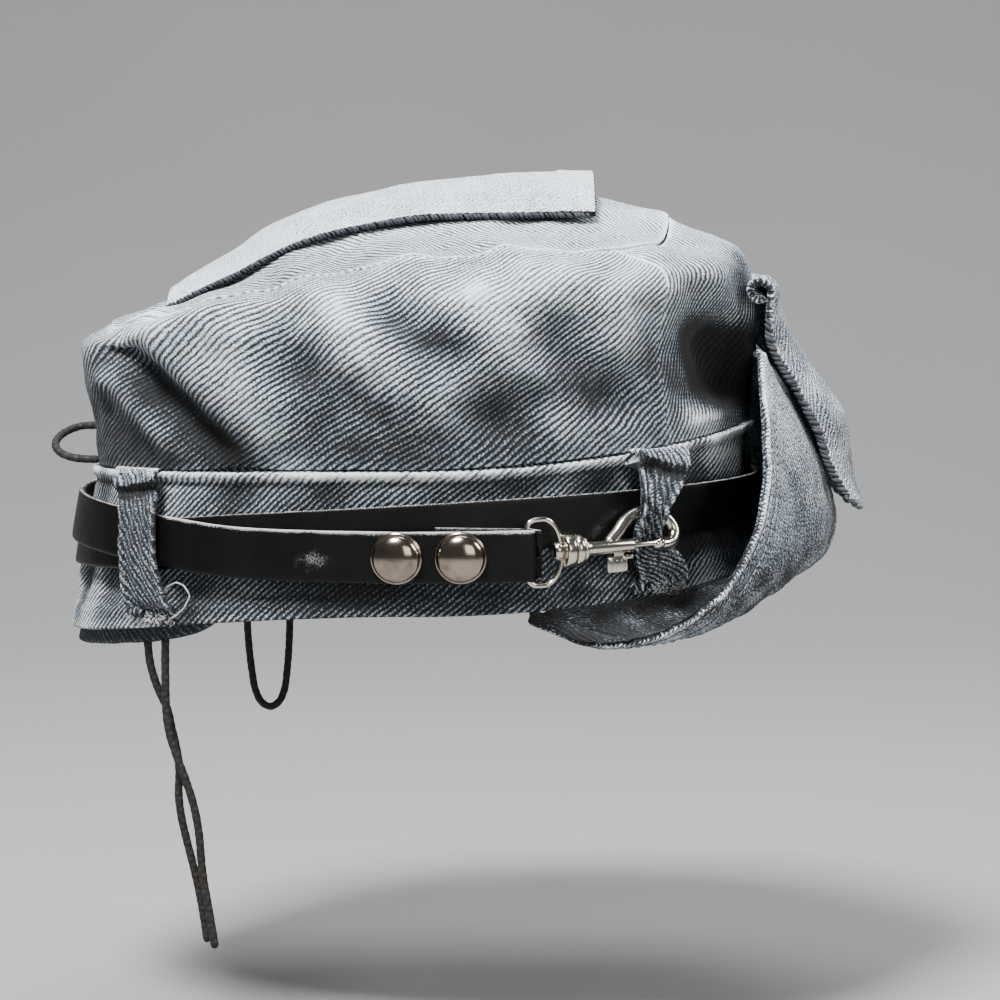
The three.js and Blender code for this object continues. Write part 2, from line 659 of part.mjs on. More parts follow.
function tabSheet(side) {
  return (across, step) => {
    const before = tabMiddle(across, Math.max(step - 0.5, 0));
    const after = tabMiddle(across, Math.min(step + 0.5, TAB_STEPS));
    const along = after.sub(before);
    const sideways = tabMiddle(across + 0.05, step).sub(tabMiddle(across - 0.05, step));
    const normal = sideways.cross(along).normalize();
    return tabMiddle(across, step).addScaledVector(normal, side * STRIP_WALL / 2);
  };
}

add('front_tab', wall(tabSheet(1), tabSheet(-1), range(-1, 1, 6), range(0, TAB_STEPS, TAB_STEPS)), denim());

// Belt loops: gathered cloth strips that stand off the band.

function beltLoop(angle, route, backward) {
  const angles = route.map((row) => angle + row.turn * backward);
  const points = route.map((row, i) => {
    const rim = blended(BAND_RIM, angles[i]);
    const height = blended(BAND_TOP, angles[i]) - rim;
    return bandPoint(angles[i], rim + row.share * height, row.out);
  });
  const level = angles.map((at) => bandNormal(at, 20).cross(new THREE.Vector3(0, 0, 1)));
  return ribbon(points, level, route.map((row) => row.width * LOOP_WIDTH), LOOP_WALL);
}

add('belt_loop_right_rear', beltLoop(180 - REAR_LOOP_ANGLE, LOOP_ROUTE, 1), denim());
add('belt_loop_right_front', beltLoop(FRONT_LOOP_ANGLE, HOOKED_LOOP_ROUTE, 1), denim());
add('belt_loop_left_rear', beltLoop(180 + REAR_LOOP_ANGLE, LEFT_REAR_LOOP_ROUTE, -1), denim());
add('belt_loop_left_front', beltLoop(360 - FRONT_LOOP_ANGLE, LOOP_ROUTE, -1), denim());

// Leather strap: folded end, fold round the snap's eye, then two turns round the band.

const snapOutward = new THREE.Vector3(SNAP_AXIS.y, -SNAP_AXIS.x, 0).normalize();

function strapPoint(row) {
  return bandPoint(row.angle, row.z, row.out);
}

// The strap's width lies along the leaning band.
function strapLean(angle) {
  return bandPoint(angle, 30).sub(bandPoint(angle, 10)).normalize();
}

function strapFold() {
  const bar = SNAP_PLACE.clone().addScaledVector(SNAP_AXIS, -EYE_HALF_LENGTH);
  return range(-90, 90, FOLD_STEPS).map((turn) => {
    const point = bar.clone().addScaledVector(snapOutward, FOLD_RADIUS * Math.sin(radians(turn)));
    point.addScaledVector(SNAP_AXIS, FOLD_RADIUS * Math.cos(radians(turn)));
    return point.setZ(21.8);
  });
}

const strapFirst = STRAP_ROUTE[0].angle;
const strapLast = STRAP_ROUTE[STRAP_ROUTE.length - 1].angle;
const strapAngles = range(strapFirst, strapLast, Math.round((strapLast - strapFirst) / STRAP_STEP));
const strapTurns = strapAngles.map((angle) => strapPoint(rowAt(STRAP_ROUTE, 'angle', angle)));
const foldPoints = strapFold();
const strapPoints = [...FOLDED_END.map(strapPoint), ...foldPoints, ...strapTurns];
const strapAcross = [
  ...FOLDED_END.map((row) => strapLean(row.angle)),
  ...foldPoints.map(() => strapLean(strapFirst)),
  ...strapAngles.map(strapLean),
];
const strapWidths = strapPoints.map(() => LEATHER_WIDTH);
add('leather_strap', ribbon(strapPoints, strapAcross, strapWidths, LEATHER_WALL), leather());

// Domed rivets, each on the outer face of the strap.

function rivet() {
  const dome = range(0, 90, 6).map((turn) => {
    const across = RIVET_RADIUS * Math.cos(radians(turn));
    return new THREE.Vector2(turn === 90 ? 0 : across, 0.9 + (RIVET_HEIGHT - 0.9) * Math.sin(radians(turn)));
  });
  const profile = [new THREE.Vector2(0, 0), new THREE.Vector2(RIVET_RADIUS - 0.5, 0), ...dome];
  profile[profile.length - 1].x = 0;
  return new THREE.LatheGeometry(profile, 18).rotateX(Math.PI / 2);
}

function addRivet(name, angle) {
  const before = strapPoint(rowAt(STRAP_ROUTE, 'angle', angle - 2));
  const after = strapPoint(rowAt(STRAP_ROUTE, 'angle', angle + 2));
  const outward = after.clone().sub(before).cross(new THREE.Vector3(0, 0, 1)).normalize();
  if (outward.dot(bandNormal(angle, 20)) < 0) {
    outward.negate();
  }
  const place = strapPoint(rowAt(STRAP_ROUTE, 'angle', angle));
  const mesh = add(name, rivet(), nickel());
  mesh.position.copy(place.addScaledVector(outward, LEATHER_WALL / 2 + GAP));
  mesh.quaternion.setFromUnitVectors(new THREE.Vector3(0, 0, 1), outward);
}

addRivet('rivet_rear', 91.7);
addRivet('rivet_front', 82.2);

// Swivel snap, drawn along its own axis: +X to the hook, +Y up, +Z away from the cap.

const snap = new THREE.Group();
snap.position.copy(SNAP_PLACE);
const snapUp = snapOutward.clone().cross(SNAP_AXIS);
snap.quaternion.setFromRotationMatrix(new THREE.Matrix4().makeBasis(SNAP_AXIS, snapUp, snapOutward));
cap.add(snap);

function roundBar(start, end, radius, sides = 14) {
  const bar = new THREE.CylinderGeometry(radius, radius, end - start, sides);
  return bar.rotateZ(-Math.PI / 2).translate((start + end) / 2, 0, 0);
}

function block(start, end, bottom, top, thickness) {
  const box = new THREE.BoxGeometry(end - start, top - bottom, thickness);
  return box.translate((start + end) / 2, (bottom + top) / 2, 0);
}

function snapEye() {
  const ring = new THREE.TorusGeometry(1, 0.5, 8, 24);
  const position = ring.attributes.position;
  const place = new THREE.Vector3();
  for (let i = 0; i < position.count; i += 1) {
    place.fromBufferAttribute(position, i);
    const turn = Math.atan2(place.y, place.x);
    const bulge = (Math.hypot(place.x, place.y) - 1) * SNAP_WIRE;
    const bend = Math.cos(turn) > 1e-9 ? EYE_HOOK_SIDE : EYE_STRAP_SIDE;
    const c = squared(Math.cos(turn), bend);
    const s = squared(Math.sin(turn), bend);
    position.setXYZ(i, (EYE_HALF_LENGTH + bulge) * c, (EYE_HALF_HEIGHT + bulge) * s, place.z * SNAP_WIRE);
  }
  const boss = roundBar(EYE_HALF_LENGTH - 2.6, COLLAR_START + 0.2, 2.6);
  const collar = roundBar(COLLAR_START, COLLAR_START + COLLAR_LENGTH, 4.3, 18);
  return joined(ring, boss, collar);
}

function hookCurve() {
  const route = [
    [19.5, 1.2], [22.4, 3.6], [25.6, 6.6], [30, 8.4], [34.6, 8], [38.4, 5.8],
    [40, 2.8], [38.9, 0.3], [36.6, -0.5], [33.6, -0.3],
  ];
  return route.map(([x, y]) => new THREE.Vector3(x, y, -0.4 * Math.max(y, 0) - 0.3 * Math.max(x - 33, 0)));
}

function snapHook() {
  const collarStart = COLLAR_START + COLLAR_LENGTH + GAP;
  const collar = roundBar(collarStart, collarStart + 2.4, 4, 18);
  const barrel = roundBar(collarStart + 2.2, BARREL_END, BARREL_RADIUS, 16);
  const hook = roundTube(hookCurve(), HOOK_WIRE / 2, 10, 22);
  const bore = roundBar(BARREL_START + 0.4, BOLT_END + 0.3, BORE_RADIUS, 14);
  const slot = block(BARREL_START + 0.8, BARREL_END + 1, -4, 0, 1.8);
  return cutBy(joined(collar, barrel, hook), bore, slot);
}

function snapGate() {
  const bolt = roundBar(19, BOLT_END, BOLT_RADIUS, 12);
  const neck = block(20.4, 23.4, -3, 0, 1.2);
  const knob = block(18.2, 24.4, -7.2, -2.5, 2.2);
  const lip = block(22.6, 26, -3.6, -2.5, 2.2);
  return joined(bolt, neck, knob, lip);
}

add('snap_eye', snapEye(), nickel(), snap);
add('snap_hook', snapHook(), nickel(), snap);
add('snap_gate', snapGate(), nickel(), snap);

// Drawcord, where it shows.

function addCord(name, route) {
  const points = route.map((place) => new THREE.Vector3(...place));
  const length = new THREE.CatmullRomCurve3(points).getLength();
  const steps = Math.round(length / (2.5 * CORD_DIAMETER));
  add(name, roundTube(points, CORD_DIAMETER / 2, 8, steps), waxedCord());
}

addCord('cord_tail_a', TAIL_A_ROUTE);
addCord('cord_tail_b', TAIL_B_ROUTE);
addCord('cord_back_loop', BACK_LOOP_ROUTE);
addCord('cord_side_loop', SIDE_LOOP_ROUTE);

export default cap;
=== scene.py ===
"""Looks of a soft denim biker cap with a leather strap, a swivel snap and a drawcord.

Lengths in the tables are millimetres in the CAD model's frame: the front of the cap is -Y, the
wearer's right is -X and +Z is up. An angle round the cap is in degrees: 0 front, 90 right, 180 back.
"""

import logging
from collections.abc import Callable
from dataclasses import dataclass
from enum import Enum

import bpy
import numpy as np
from mathutils import Euler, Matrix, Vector


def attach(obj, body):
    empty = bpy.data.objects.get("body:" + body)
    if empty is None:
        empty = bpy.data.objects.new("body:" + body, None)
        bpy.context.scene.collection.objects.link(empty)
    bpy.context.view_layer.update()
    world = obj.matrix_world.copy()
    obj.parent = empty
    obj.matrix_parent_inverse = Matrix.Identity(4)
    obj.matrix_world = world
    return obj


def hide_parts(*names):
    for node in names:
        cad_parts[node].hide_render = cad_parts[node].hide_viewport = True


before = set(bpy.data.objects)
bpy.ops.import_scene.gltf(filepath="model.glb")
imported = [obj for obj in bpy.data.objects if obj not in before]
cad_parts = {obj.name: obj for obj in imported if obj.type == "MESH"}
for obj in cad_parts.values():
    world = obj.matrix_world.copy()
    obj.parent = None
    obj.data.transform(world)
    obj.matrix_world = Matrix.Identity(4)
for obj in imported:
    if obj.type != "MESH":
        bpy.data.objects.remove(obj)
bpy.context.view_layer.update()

MM = 0.001
GAP = 0.3
CAP_BODY = "cap_body"
GATE_BODY = "gate"
LOG = logging.getLogger("cap")
Points = np.ndarray
Place = tuple[float, float, float]
Route = tuple[Place, ...]
Outline = list[tuple[float, float]]
Sheet = Callable[[Points, Points], Points]
Relief = Callable[[Points, Points, Points], Points]
Faces = list[tuple[int, ...]]


# Tables and curves.


@dataclass(frozen=True)
class Table:
    """Sections of a form: rows of named columns, read on a smooth curve through the rows."""

    columns: tuple[str, ...]
    rows: tuple[tuple[float, ...], ...]

    def at(self, column: str, key: Points) -> Points:
        """Read one column at values of the first column.

        Args:
            column: Name of the column.
            key: Values of the first column.

        Returns:
            The column's value at each of them.
        """
        ordered = sorted(self.rows)
        keys = np.array([row[0] for row in ordered])
        values = np.array([row[self.columns.index(column)] for row in ordered])
        key = np.asarray(key, float)
        last = len(keys) - 1
        i = np.clip(np.searchsorted(keys, key, side="right") - 1, 0, last - 1)
        before = np.maximum(np.arange(last + 1) - 1, 0)
        after = np.minimum(np.arange(last + 1) + 1, last)
        slopes = (values[after] - values[before]) / (keys[after] - keys[before])
        span = keys[i + 1] - keys[i]
        t = np.clip((key - keys[i]) / span, 0, 1)
        return (
            (2 * t**3 - 3 * t**2 + 1) * values[i]
            + (t**3 - 2 * t**2 + t) * slopes[i] * span
            + (3 * t**2 - 2 * t**3) * values[i + 1]
            + (t**3 - t**2) * slopes[i + 1] * span
        )

    def row(self, key: Points) -> dict[str, Points]:
        """Read every other column at values of the first column."""
        return {name: self.at(name, key) for name in self.columns[1:]}


def smooth(low: float, high: float, value: Points) -> Points:
    """Rise smoothly from 0 at low to 1 at high."""
    t = np.clip((value - low) / (high - low), 0, 1)
    return t * t * (3 - 2 * t)


def squared(value: Points, power: Points) -> Points:
    """Push a cosine or sine towards one, which squares off an oval."""
    size = np.abs(value)
    return np.where(size < 1e-9, 0, np.sign(value) * np.maximum(size, 1e-9) ** power)


def stack(x: Points, y: Points, z: Points) -> Points:
    """Join three coordinates into points."""
    return np.stack(np.broadcast_arrays(x, y, z), axis=-1).astype(float)


def unit(vectors: Points) -> Points:
    """Scale vectors to length one."""
    return vectors / np.maximum(np.linalg.norm(vectors, axis=-1, keepdims=True), 1e-12)


def bell(value: Points, width: float) -> Points:
    """A rounded bump: 1 where the value is 0, fading over the width."""
    return np.exp(-((value / width) ** 2))


def circle(count: int) -> Points:
    """Even turns round a circle, in radians."""
    return np.arange(count) * 2 * np.pi / count


def run_along(points: Points, axis: int = 0) -> Points:
    """Distance from the first point of a line, or of each line of a grid along an axis."""
    steps = np.linalg.norm(np.diff(points, axis=axis), axis=-1)
    start = np.zeros_like(steps.take([0], axis=axis))
    return np.concatenate([start, np.cumsum(steps, axis=axis)], axis=axis)


def from_front(angle: Points) -> Points:
    """Degrees between a direction and the front, on either side."""
    return np.minimum(np.abs(angle), 360 - np.abs(angle))


def ripple(points: Points, size: float, seed: int) -> Points:
    """Soft irregular waves in space, for wrinkles that no table lists.

    Args:
        points: Places, in millimetres.
        size: Typical distance between wrinkles.
        seed: Which set of waves.

    Returns:
        A value of about -1 to 1 at each place.
    """
    rng = np.random.default_rng(seed)
    total = np.zeros(points.shape[:-1])
    for _ in range(7):
        wave = unit(rng.normal(size=3)) * rng.uniform(0.6, 1.5) * 2 * np.pi / size
        total += np.sin(points @ wave + rng.uniform(0, 2 * np.pi))
    return total / 3.2


def smooth_path(points: Points | Route, count: int) -> Points:
    """Points at even steps on a centripetal curve through the given ones.

    Args:
        points: Places that the curve passes.
        count: How many points to return.

    Returns:
        The points, count by 3.
    """
    given = np.array(points, float)
    padded = np.vstack([2 * given[0] - given[1], given, 2 * given[-1] - given[-2]])
    knots = np.concatenate([[0], np.cumsum(np.linalg.norm(np.diff(padded, axis=0), axis=1) ** 0.5)])
    fine = []
    for i in range(1, len(padded) - 2):
        k = knots[i - 1 : i + 3]
        p = padded[i - 1 : i + 3]
        t = np.linspace(k[1], k[2], 24, endpoint=False)[:, None]
        a = [((k[j + 1] - t) * p[j] + (t - k[j]) * p[j + 1]) / (k[j + 1] - k[j]) for j in range(3)]
        b = [((k[j + 2] - t) * a[j] + (t - k[j]) * a[j + 1]) / (k[j + 2] - k[j]) for j in range(2)]
        fine.append(((k[2] - t) * b[0] + (t - k[1]) * b[1]) / (k[2] - k[1]))
    line = np.vstack([*fine, given[-1:]])
    run = run_along(line)
    even = np.linspace(0, run[-1], count)
    return np.stack([np.interp(even, run, line[:, j]) for j in range(3)], axis=1)


def grid_normals(grid: Points, closed: bool = False) -> Points:
    """Unit normals of a sheet of points, from its rows and columns.

    Args:
        grid: Points, columns by rows by 3.
        closed: Whether the last column joins the first.

    Returns:
        Normals of the same shape.
    """
    if closed:
        wide = np.concatenate([grid[-1:], grid, grid[:1]])
        along = (wide[2:] - wide[:-2]) / 2
    else:
        along = np.gradient(grid, axis=0)
    return unit(np.cross(along, np.gradient(grid, axis=1)))


def sheet_points(face: Sheet, u: Points, v: Points) -> Points:
    """Points of a face over every pair of the places u and v."""
    return face(*np.meshgrid(u, v, indexing="ij"))


def flat_size(grid: Points) -> tuple[float, float]:
    """Width and length that a sheet was cut to, in metres, from a grid of its points."""
    width = np.linalg.norm(np.diff(grid, axis=0), axis=-1).sum(axis=0).mean()
    length = np.linalg.norm(np.diff(grid, axis=1), axis=-1).sum(axis=1).mean()
    return float(width) * MM, float(length) * MM


# Shader kit.


class Wire:
    """A value in a material, which Python's arithmetic turns into Math nodes."""

    def __init__(self, shader: "Shader", socket: bpy.types.NodeSocket) -> None:
        """Keep the socket and the material that it is in."""
        self.shader = shader
        self.socket = socket

    def _math(self, operation: str, *terms: "Wire | float") -> "Wire":
        """Add one Math node."""
        return self.shader.node("ShaderNodeMath", {"operation": operation}, dict(enumerate(terms)))

    def __add__(self, other: "Wire | float") -> "Wire":
        """Sum."""
        return self._math("ADD", self, other)

    __radd__ = __add__

    def __sub__(self, other: "Wire | float") -> "Wire":
        """Difference."""
        return self._math("SUBTRACT", self, other)

    def __rsub__(self, other: float) -> "Wire":
        """Difference from a number."""
        return self._math("SUBTRACT", other, self)

    def __mul__(self, other: "Wire | float") -> "Wire":
        """Product."""
        return self._math("MULTIPLY", self, other)

    __rmul__ = __mul__

    def __truediv__(self, other: "Wire | float") -> "Wire":
        """Quotient."""
        return self._math("DIVIDE", self, other)

    def __rtruediv__(self, other: float) -> "Wire":
        """A number divided by this value."""
        return self._math("DIVIDE", other, self)

    def __pow__(self, other: float) -> "Wire":
        """Power."""
        return self._math("POWER", self, other)

    def wave(self) -> "Wire":
        """A wave from 0 to 1 over a value in radians."""
        return self._math("SINE", self) * 0.5 + 0.5

    def clip(self) -> "Wire":
        """Keep the value from 0 to 1."""
        return self._math("MINIMUM", self._math("MAXIMUM", self, 0.0), 1.0)

    def step(self, low: float, high: float) -> "Wire":
        """Rise smoothly from 0 at low to 1 at high."""
        return self.shader.node(
            "ShaderNodeMapRange",
            {"interpolation_type": "SMOOTHSTEP"},
            {"Value": self, "From Min": low, "From Max": high},
        )


@dataclass(frozen=True)
class Colour:
    """A colour given as the screen shows it, 0 to 255."""

    red: float
    green: float
    blue: float

    def linear(self) -> tuple[float, float, float, float]:
        """The colour in Blender's linear values."""
        parts = [value / 255 for value in (self.red, self.green, self.blue)]
        bent = [p / 12.92 if p <= 0.04045 else ((p + 0.055) / 1.055) ** 2.4 for p in parts]
        return (bent[0], bent[1], bent[2], 1.0)

    def darker(self, share: float) -> "Colour":
        """The colour at a share of its values."""
        return Colour(self.red * share, self.green * share, self.blue * share)


class Shader:
    """One material and the nodes that it is made of."""

    def __init__(self, name: str) -> None:
        """Start an empty material."""
        self.material = bpy.data.materials.new(name)
        self.material.use_nodes = True
        self.tree = self.material.node_tree
        self.tree.nodes.clear()

    def node(
        self,
        kind: str,
        settings: dict[str, object] | None = None,
        inputs: dict[str | int, object] | None = None,
        output: str | int = 0,
    ) -> Wire:
        """Add one node.

        Args:
            kind: Blender's type of node.
            settings: Its properties, set first. "stops" fills a colour ramp.
            inputs: Values or wires for its sockets, by name or number.
            output: Which of its outputs to return.

        Returns:
            The output as a wire.
        """
        made = self.tree.nodes.new(kind)
        for name, value in (settings or {}).items():
            if name == "stops":
                self._fill_ramp(made, value)
            else:
                setattr(made, name, value)
        for name, value in (inputs or {}).items():
            if isinstance(value, Wire):
                self.tree.links.new(value.socket, made.inputs[name])
            elif isinstance(value, Colour):
                made.inputs[name].default_value = value.linear()
            else:
                made.inputs[name].default_value = value
        return Wire(self, made.outputs[output])

    def _fill_ramp(self, made: bpy.types.Node, stops: tuple[tuple[float, Colour], ...]) -> None:
        """Give a colour ramp its stops."""
        elements = made.color_ramp.elements
        while len(elements) < len(stops):
            elements.new(0.5)
        for element, (place, colour) in zip(elements, stops):
            element.position = place
            element.color = colour.linear()

    def attribute(self, name: str, output: str = "Fac") -> Wire:
        """A value that the mesh carries at its vertices."""
        return self.node("ShaderNodeAttribute", {"attribute_name": name}, {}, output)

    def place(self) -> Wire:
        """The point's place on the object, in metres."""
        return self.node("ShaderNodeTexCoord", {}, {}, "Object")

    def split(self, vector: Wire) -> tuple[Wire, Wire, Wire]:
        """The three parts of a vector."""
        parts = self.node("ShaderNodeSeparateXYZ", {}, {"Vector": vector})
        outputs = parts.socket.node.outputs
        return Wire(self, outputs[0]), Wire(self, outputs[1]), Wire(self, outputs[2])

    def join(self, x: Wire | float, y: Wire | float, z: Wire | float) -> Wire:
        """A vector of three parts."""
        return self.node("ShaderNodeCombineXYZ", {}, {"X": x, "Y": y, "Z": z})

    def noise(self, vector: Wire, scale: float, detail: float = 2.0, rough: float = 0.5) -> Wire:
        """Irregular values from 0 to 1.

        Args:
            vector: Where to read them.
            scale: How many to a metre.
            detail: How many finer layers.
            rough: How strong the finer layers are.

        Returns:
            The value.
        """
        return self.node(
            "ShaderNodeTexNoise",
            {},
            {"Vector": vector, "Scale": scale, "Detail": detail, "Roughness": rough},
        )

    def mix(self, factor: Wire | float, first: object, second: object) -> Wire:
        """Colour between two colours."""
        return self.node("ShaderNodeMix", {"data_type": "RGBA"}, {0: factor, 6: first, 7: second}, 2)

    def finish(
        self, sockets: dict[str, object], height: Wire, depth: float, strength: float = 1.0
    ) -> None:
        """Close the material with a Principled shader.

        Args:
            sockets: Values and wires of the shader's sockets.
            height: Relief, 0 to 1.
            depth: The relief's depth in metres.
            strength: How much of it shows.
        """
        bump = self.node(
            "ShaderNodeBump", {}, {"Strength": strength, "Distance": depth, "Height": height}
        )
        surface = self.node("ShaderNodeBsdfPrincipled", {}, {**sockets, "Normal": bump})
        end = self.tree.nodes.new("ShaderNodeOutputMaterial")
        self.tree.links.new(surface.socket, end.inputs["Surface"])


# Finishes.


@dataclass(frozen=True)
class Denim:
    """Washed grey-blue twill: raised slanted ribs of spun yarn, paler with wear and painted light,
    darker with painted shade.

    slant is in degrees, the spacings rib and twist in metres. wash makes the cloth paler, ribbed
    its ribs deeper and grit its fuzz stronger.
    """

    name: str
    slant: float
    rib: float = 0.00158
    wash: float = 0.0
    ribbed: float = 1.0
    grit: float = 1.75
    twist: float = 0.00125
    shades: tuple[tuple[float, Colour], ...] = (
        (0.0, Colour(8, 10, 13)),
        (0.26, Colour(46, 54, 63)),
        (0.52, Colour(118, 130, 141)),
        (0.78, Colour(182, 193, 202)),
        (1.0, Colour(236, 241, 244)),
    )

    def material(self) -> bpy.types.Material:
        """Build the material: cloth values, wear with painted light, and painted shade from the mesh."""
        s = Shader(self.name)
        cloth = s.attribute("cloth", "Vector")
        u, v, _ = s.split(cloth)
        turn = np.radians(self.slant)
        sway = (s.noise(cloth, 70.0, 1.0) - 0.5) * 0.0016
        jitter = (s.noise(cloth, 480.0, 3.0, 0.8) - 0.5) * 0.0011
        wander = sway + jitter
        across = v * np.cos(turn) - u * np.sin(turn) + wander
        along = u * np.cos(turn) + v * np.sin(turn)
        rib = (across * (2 * np.pi / self.rib)).wave()
        twist = ((along / self.twist + across / self.rib * 0.5) * (2 * np.pi)).wave()
        yarn = s.noise(s.join(along * 0.3, across, 0.0), 1100.0, 2.0)
        fuzz = s.noise(cloth, 2900.0 - 350.0 * self.grit, 2.0, 0.75)
        wear_and_light = s.attribute("wear_and_light")
        # The ribs flatten where wear and painted light are strong.
        flattened = ((wear_and_light - 0.95) * 3.0).clip() * 0.75
        raised = rib ** 0.75 * (twist * 0.26 + 0.74) * (1.0 - flattened) + flattened * 0.8
        wash = s.noise(cloth, 30.0, 3.0, 0.6)
        blotch = s.noise(cloth, 130.0, 2.0, 0.6)
        # The tone rises with wear and painted light and falls with painted shade.
        tone = (
            raised * (0.9 * self.ribbed)
            + (yarn - 0.5) * 0.55
            + (fuzz - 0.5) * self.grit
            + (wash - 0.5) * 0.3
            + (blotch - 0.5) * 0.3
            + wear_and_light * 0.42
            - s.attribute("shade") * 0.5
            + (0.5 - 0.53 * self.ribbed + self.wash)
        ).clip()
        colour = s.node("ShaderNodeValToRGB", {"stops": self.shades}, {"Fac": tone})
        height = raised * (0.8 * self.ribbed) + fuzz * 0.6 + yarn * 0.3
        dry = {"Roughness": 0.95, "Sheen Weight": 0.04, "Sheen Roughness": 0.6}
        s.finish({"Base Color": colour, **dry}, height, depth=0.0006)
        return s.material


@dataclass(frozen=True)
class Leather:
    """Smooth black strap leather with pale fibrous cut edges and a scuff."""

    name: str = "black_strap_leather"

    def material(self) -> bpy.types.Material:
        """Build the material, which reads the mesh's wear and shade at cut edges and the scuff."""
        s = Shader(self.name)
        cloth = s.attribute("cloth", "Vector")
        u, v, w = s.split(cloth)
        wear_and_light = s.attribute("wear_and_light")
        cells = {"Vector": cloth, "Scale": 1500.0}
        grain = s.node("ShaderNodeTexVoronoi", {"feature": "F1"}, cells, "Distance")
        fine = s.noise(cloth, 3200.0, 2.0)
        cloud = s.noise(cloth, 60.0, 3.0)
        creases = s.noise(s.join(u * 3.0, v * 0.6, w), 240.0, 2.0)
        fibre = s.noise(s.join(u, v * 1.6, w), 2300.0, 3.0, 0.8)
        bare = ((wear_and_light + (fibre - 0.5) * 3.0) * 3.0 - 1.1).clip() * (wear_and_light * 5.0).clip()
        bare = bare * (1.0 - s.attribute("shade") * 0.6)
        skin = s.mix(cloud, Colour(3, 3, 4), Colour(9, 9, 11))
        cut = s.mix(fibre, Colour(120, 120, 119), Colour(238, 238, 236))
        colour = s.mix(bare, skin, cut)
        roughness = (0.36 + (cloud - 0.5) * 0.22 + grain * 0.12 + bare * 0.5).clip()
        height = grain * 0.35 + fine * 0.2 + creases * 0.35 + fibre * bare * 1.2
        sockets = {"Base Color": colour, "Roughness": roughness, "Specular IOR Level": 0.2}
        s.finish(sockets, height, depth=0.00025, strength=0.55)
        return s.material


@dataclass(frozen=True)
class Nickel:
    """Polished nickel plate, faintly warm, with fine marks from handling."""

    name: str
    tint: Colour
    shade: float

    def material(self) -> bpy.types.Material:
        """Build the material."""
        s = Shader(self.name)
        place = s.place()
        x, y, z = s.split(place)
        smear = s.noise(place, 160.0, 3.0, 0.6)
        scratch = s.noise(s.join(x * 0.2, y * 1.0, z * 3.0), 1400.0, 2.0)
        pits = s.noise(place, 2100.0, 2.0, 0.6)
        colour = s.mix(smear.step(0.45, 0.8), self.tint, self.tint.darker(self.shade))
        roughness = (0.1 + smear * 0.12 + (scratch - 0.5) * 0.1 + (pits - 0.5) * 0.05).clip()
        height = scratch * 0.5 + pits * 0.5 + smear
        sockets = {"Base Color": colour, "Metallic": 1.0, "Roughness": roughness}
        s.finish(sockets, height, depth=0.00006, strength=0.35)
        return s.material


@dataclass(frozen=True)
class WaxedCord:
    """Dark brown braided cord, waxed and a little hairy. plait is the braid's pitch in metres."""

    name: str = "waxed_cord"
    plait: float = 0.0032

    def material(self) -> bpy.types.Material:
        """Build the material, which reads the mesh's cloth values: the run and the turn."""
        s = Shader(self.name)
        run, turn, _ = s.split(s.attribute("cloth", "Vector"))
        place = s.place()
        left = ((run / self.plait + turn) * (2 * np.pi)).wave()
        right = ((run / self.plait - turn) * (2 * np.pi)).wave()
        hair = s.noise(place, 4200.0, 3.0, 0.7)
        cloud = s.noise(place, 220.0, 3.0)
        braid = (left * right * 1.4).clip()
        tone = (braid * 0.55 + (hair - 0.5) * 0.9 + (cloud - 0.5) * 0.5 + 0.25).clip()
        colour = s.mix(tone, Colour(4, 4, 4), Colour(42, 36, 31))
        roughness = (0.62 + hair * 0.3 - braid * 0.15).clip()
        height = braid * 0.8 + hair * 0.3
        s.finish({"Base Color": colour, "Roughness": roughness}, height, depth=0.0003, strength=0.8)
        return s.material


@dataclass(frozen=True)
class Thread:
    """Sewing thread, matt, with a twist."""

    name: str
    tone: Colour

    def material(self) -> bpy.types.Material:
        """Build the material."""
        s = Shader(self.name)
        place = s.place()
        hair = s.noise(place, 3200.0, 3.0, 0.8)
        cloud = s.noise(place, 420.0, 3.0)
        lit = ((hair - 0.5) * 2.6 + (cloud - 0.5) * 1.6 + 0.6).clip()
        colour = s.mix(lit, self.tone.darker(0.4), self.tone)
        roughness = (0.8 + hair * 0.2).clip()
        s.finish({"Base Color": colour, "Roughness": roughness}, hair, depth=0.0001, strength=0.6)
        return s.material


Finish = Denim | Leather | Nickel | WaxedCord | Thread
DOME_NICKEL = Nickel("dome_nickel", Colour(158, 145, 131), shade=0.7)
BRIGHT_NICKEL = Nickel("bright_nickel", Colour(212, 205, 193), shade=0.8)
BLUE_THREAD = Thread("faded_blue_thread", Colour(158, 168, 178))
DARK_THREAD = Thread("dark_denim_yarn", Colour(72, 77, 84))
PALE_THREAD = Thread("pale_thread", Colour(214, 214, 210))


class Slot(Enum):
    """Material slots of the record."""

    DENIM = "denim"
    LEATHER = "leather"
    NICKEL = "nickel"
    CORD = "waxed_cord"


class Wardrobe:
    """Every finish of the cap, each made into a material once."""

    def __init__(self) -> None:
        """Start with no material made."""
        self.made: dict[Finish, bpy.types.Material] = {}

    def dress(self, finish: Finish) -> bpy.types.Material:
        """The material of a finish, made at its first use."""
        if finish not in self.made:
            self.made[finish] = finish.material()
        return self.made[finish]


WARDROBE = Wardrobe()


# Mesh kit.


def new_mesh(name: str, points: list[Place], faces: Faces) -> bpy.types.Mesh:
    """A smooth-shaded mesh of points in metres."""
    mesh = bpy.data.meshes.new(name)
    mesh.from_pydata(points, [], faces)
    mesh.polygons.foreach_set("use_smooth", np.ones(len(faces), bool))
    return mesh


def new_object(name: str, data: bpy.types.ID) -> bpy.types.Object:
    """Put a mesh, a light or a camera into the scene."""
    made = bpy.data.objects.new(name, data)
    bpy.context.scene.collection.objects.link(made)
    return made


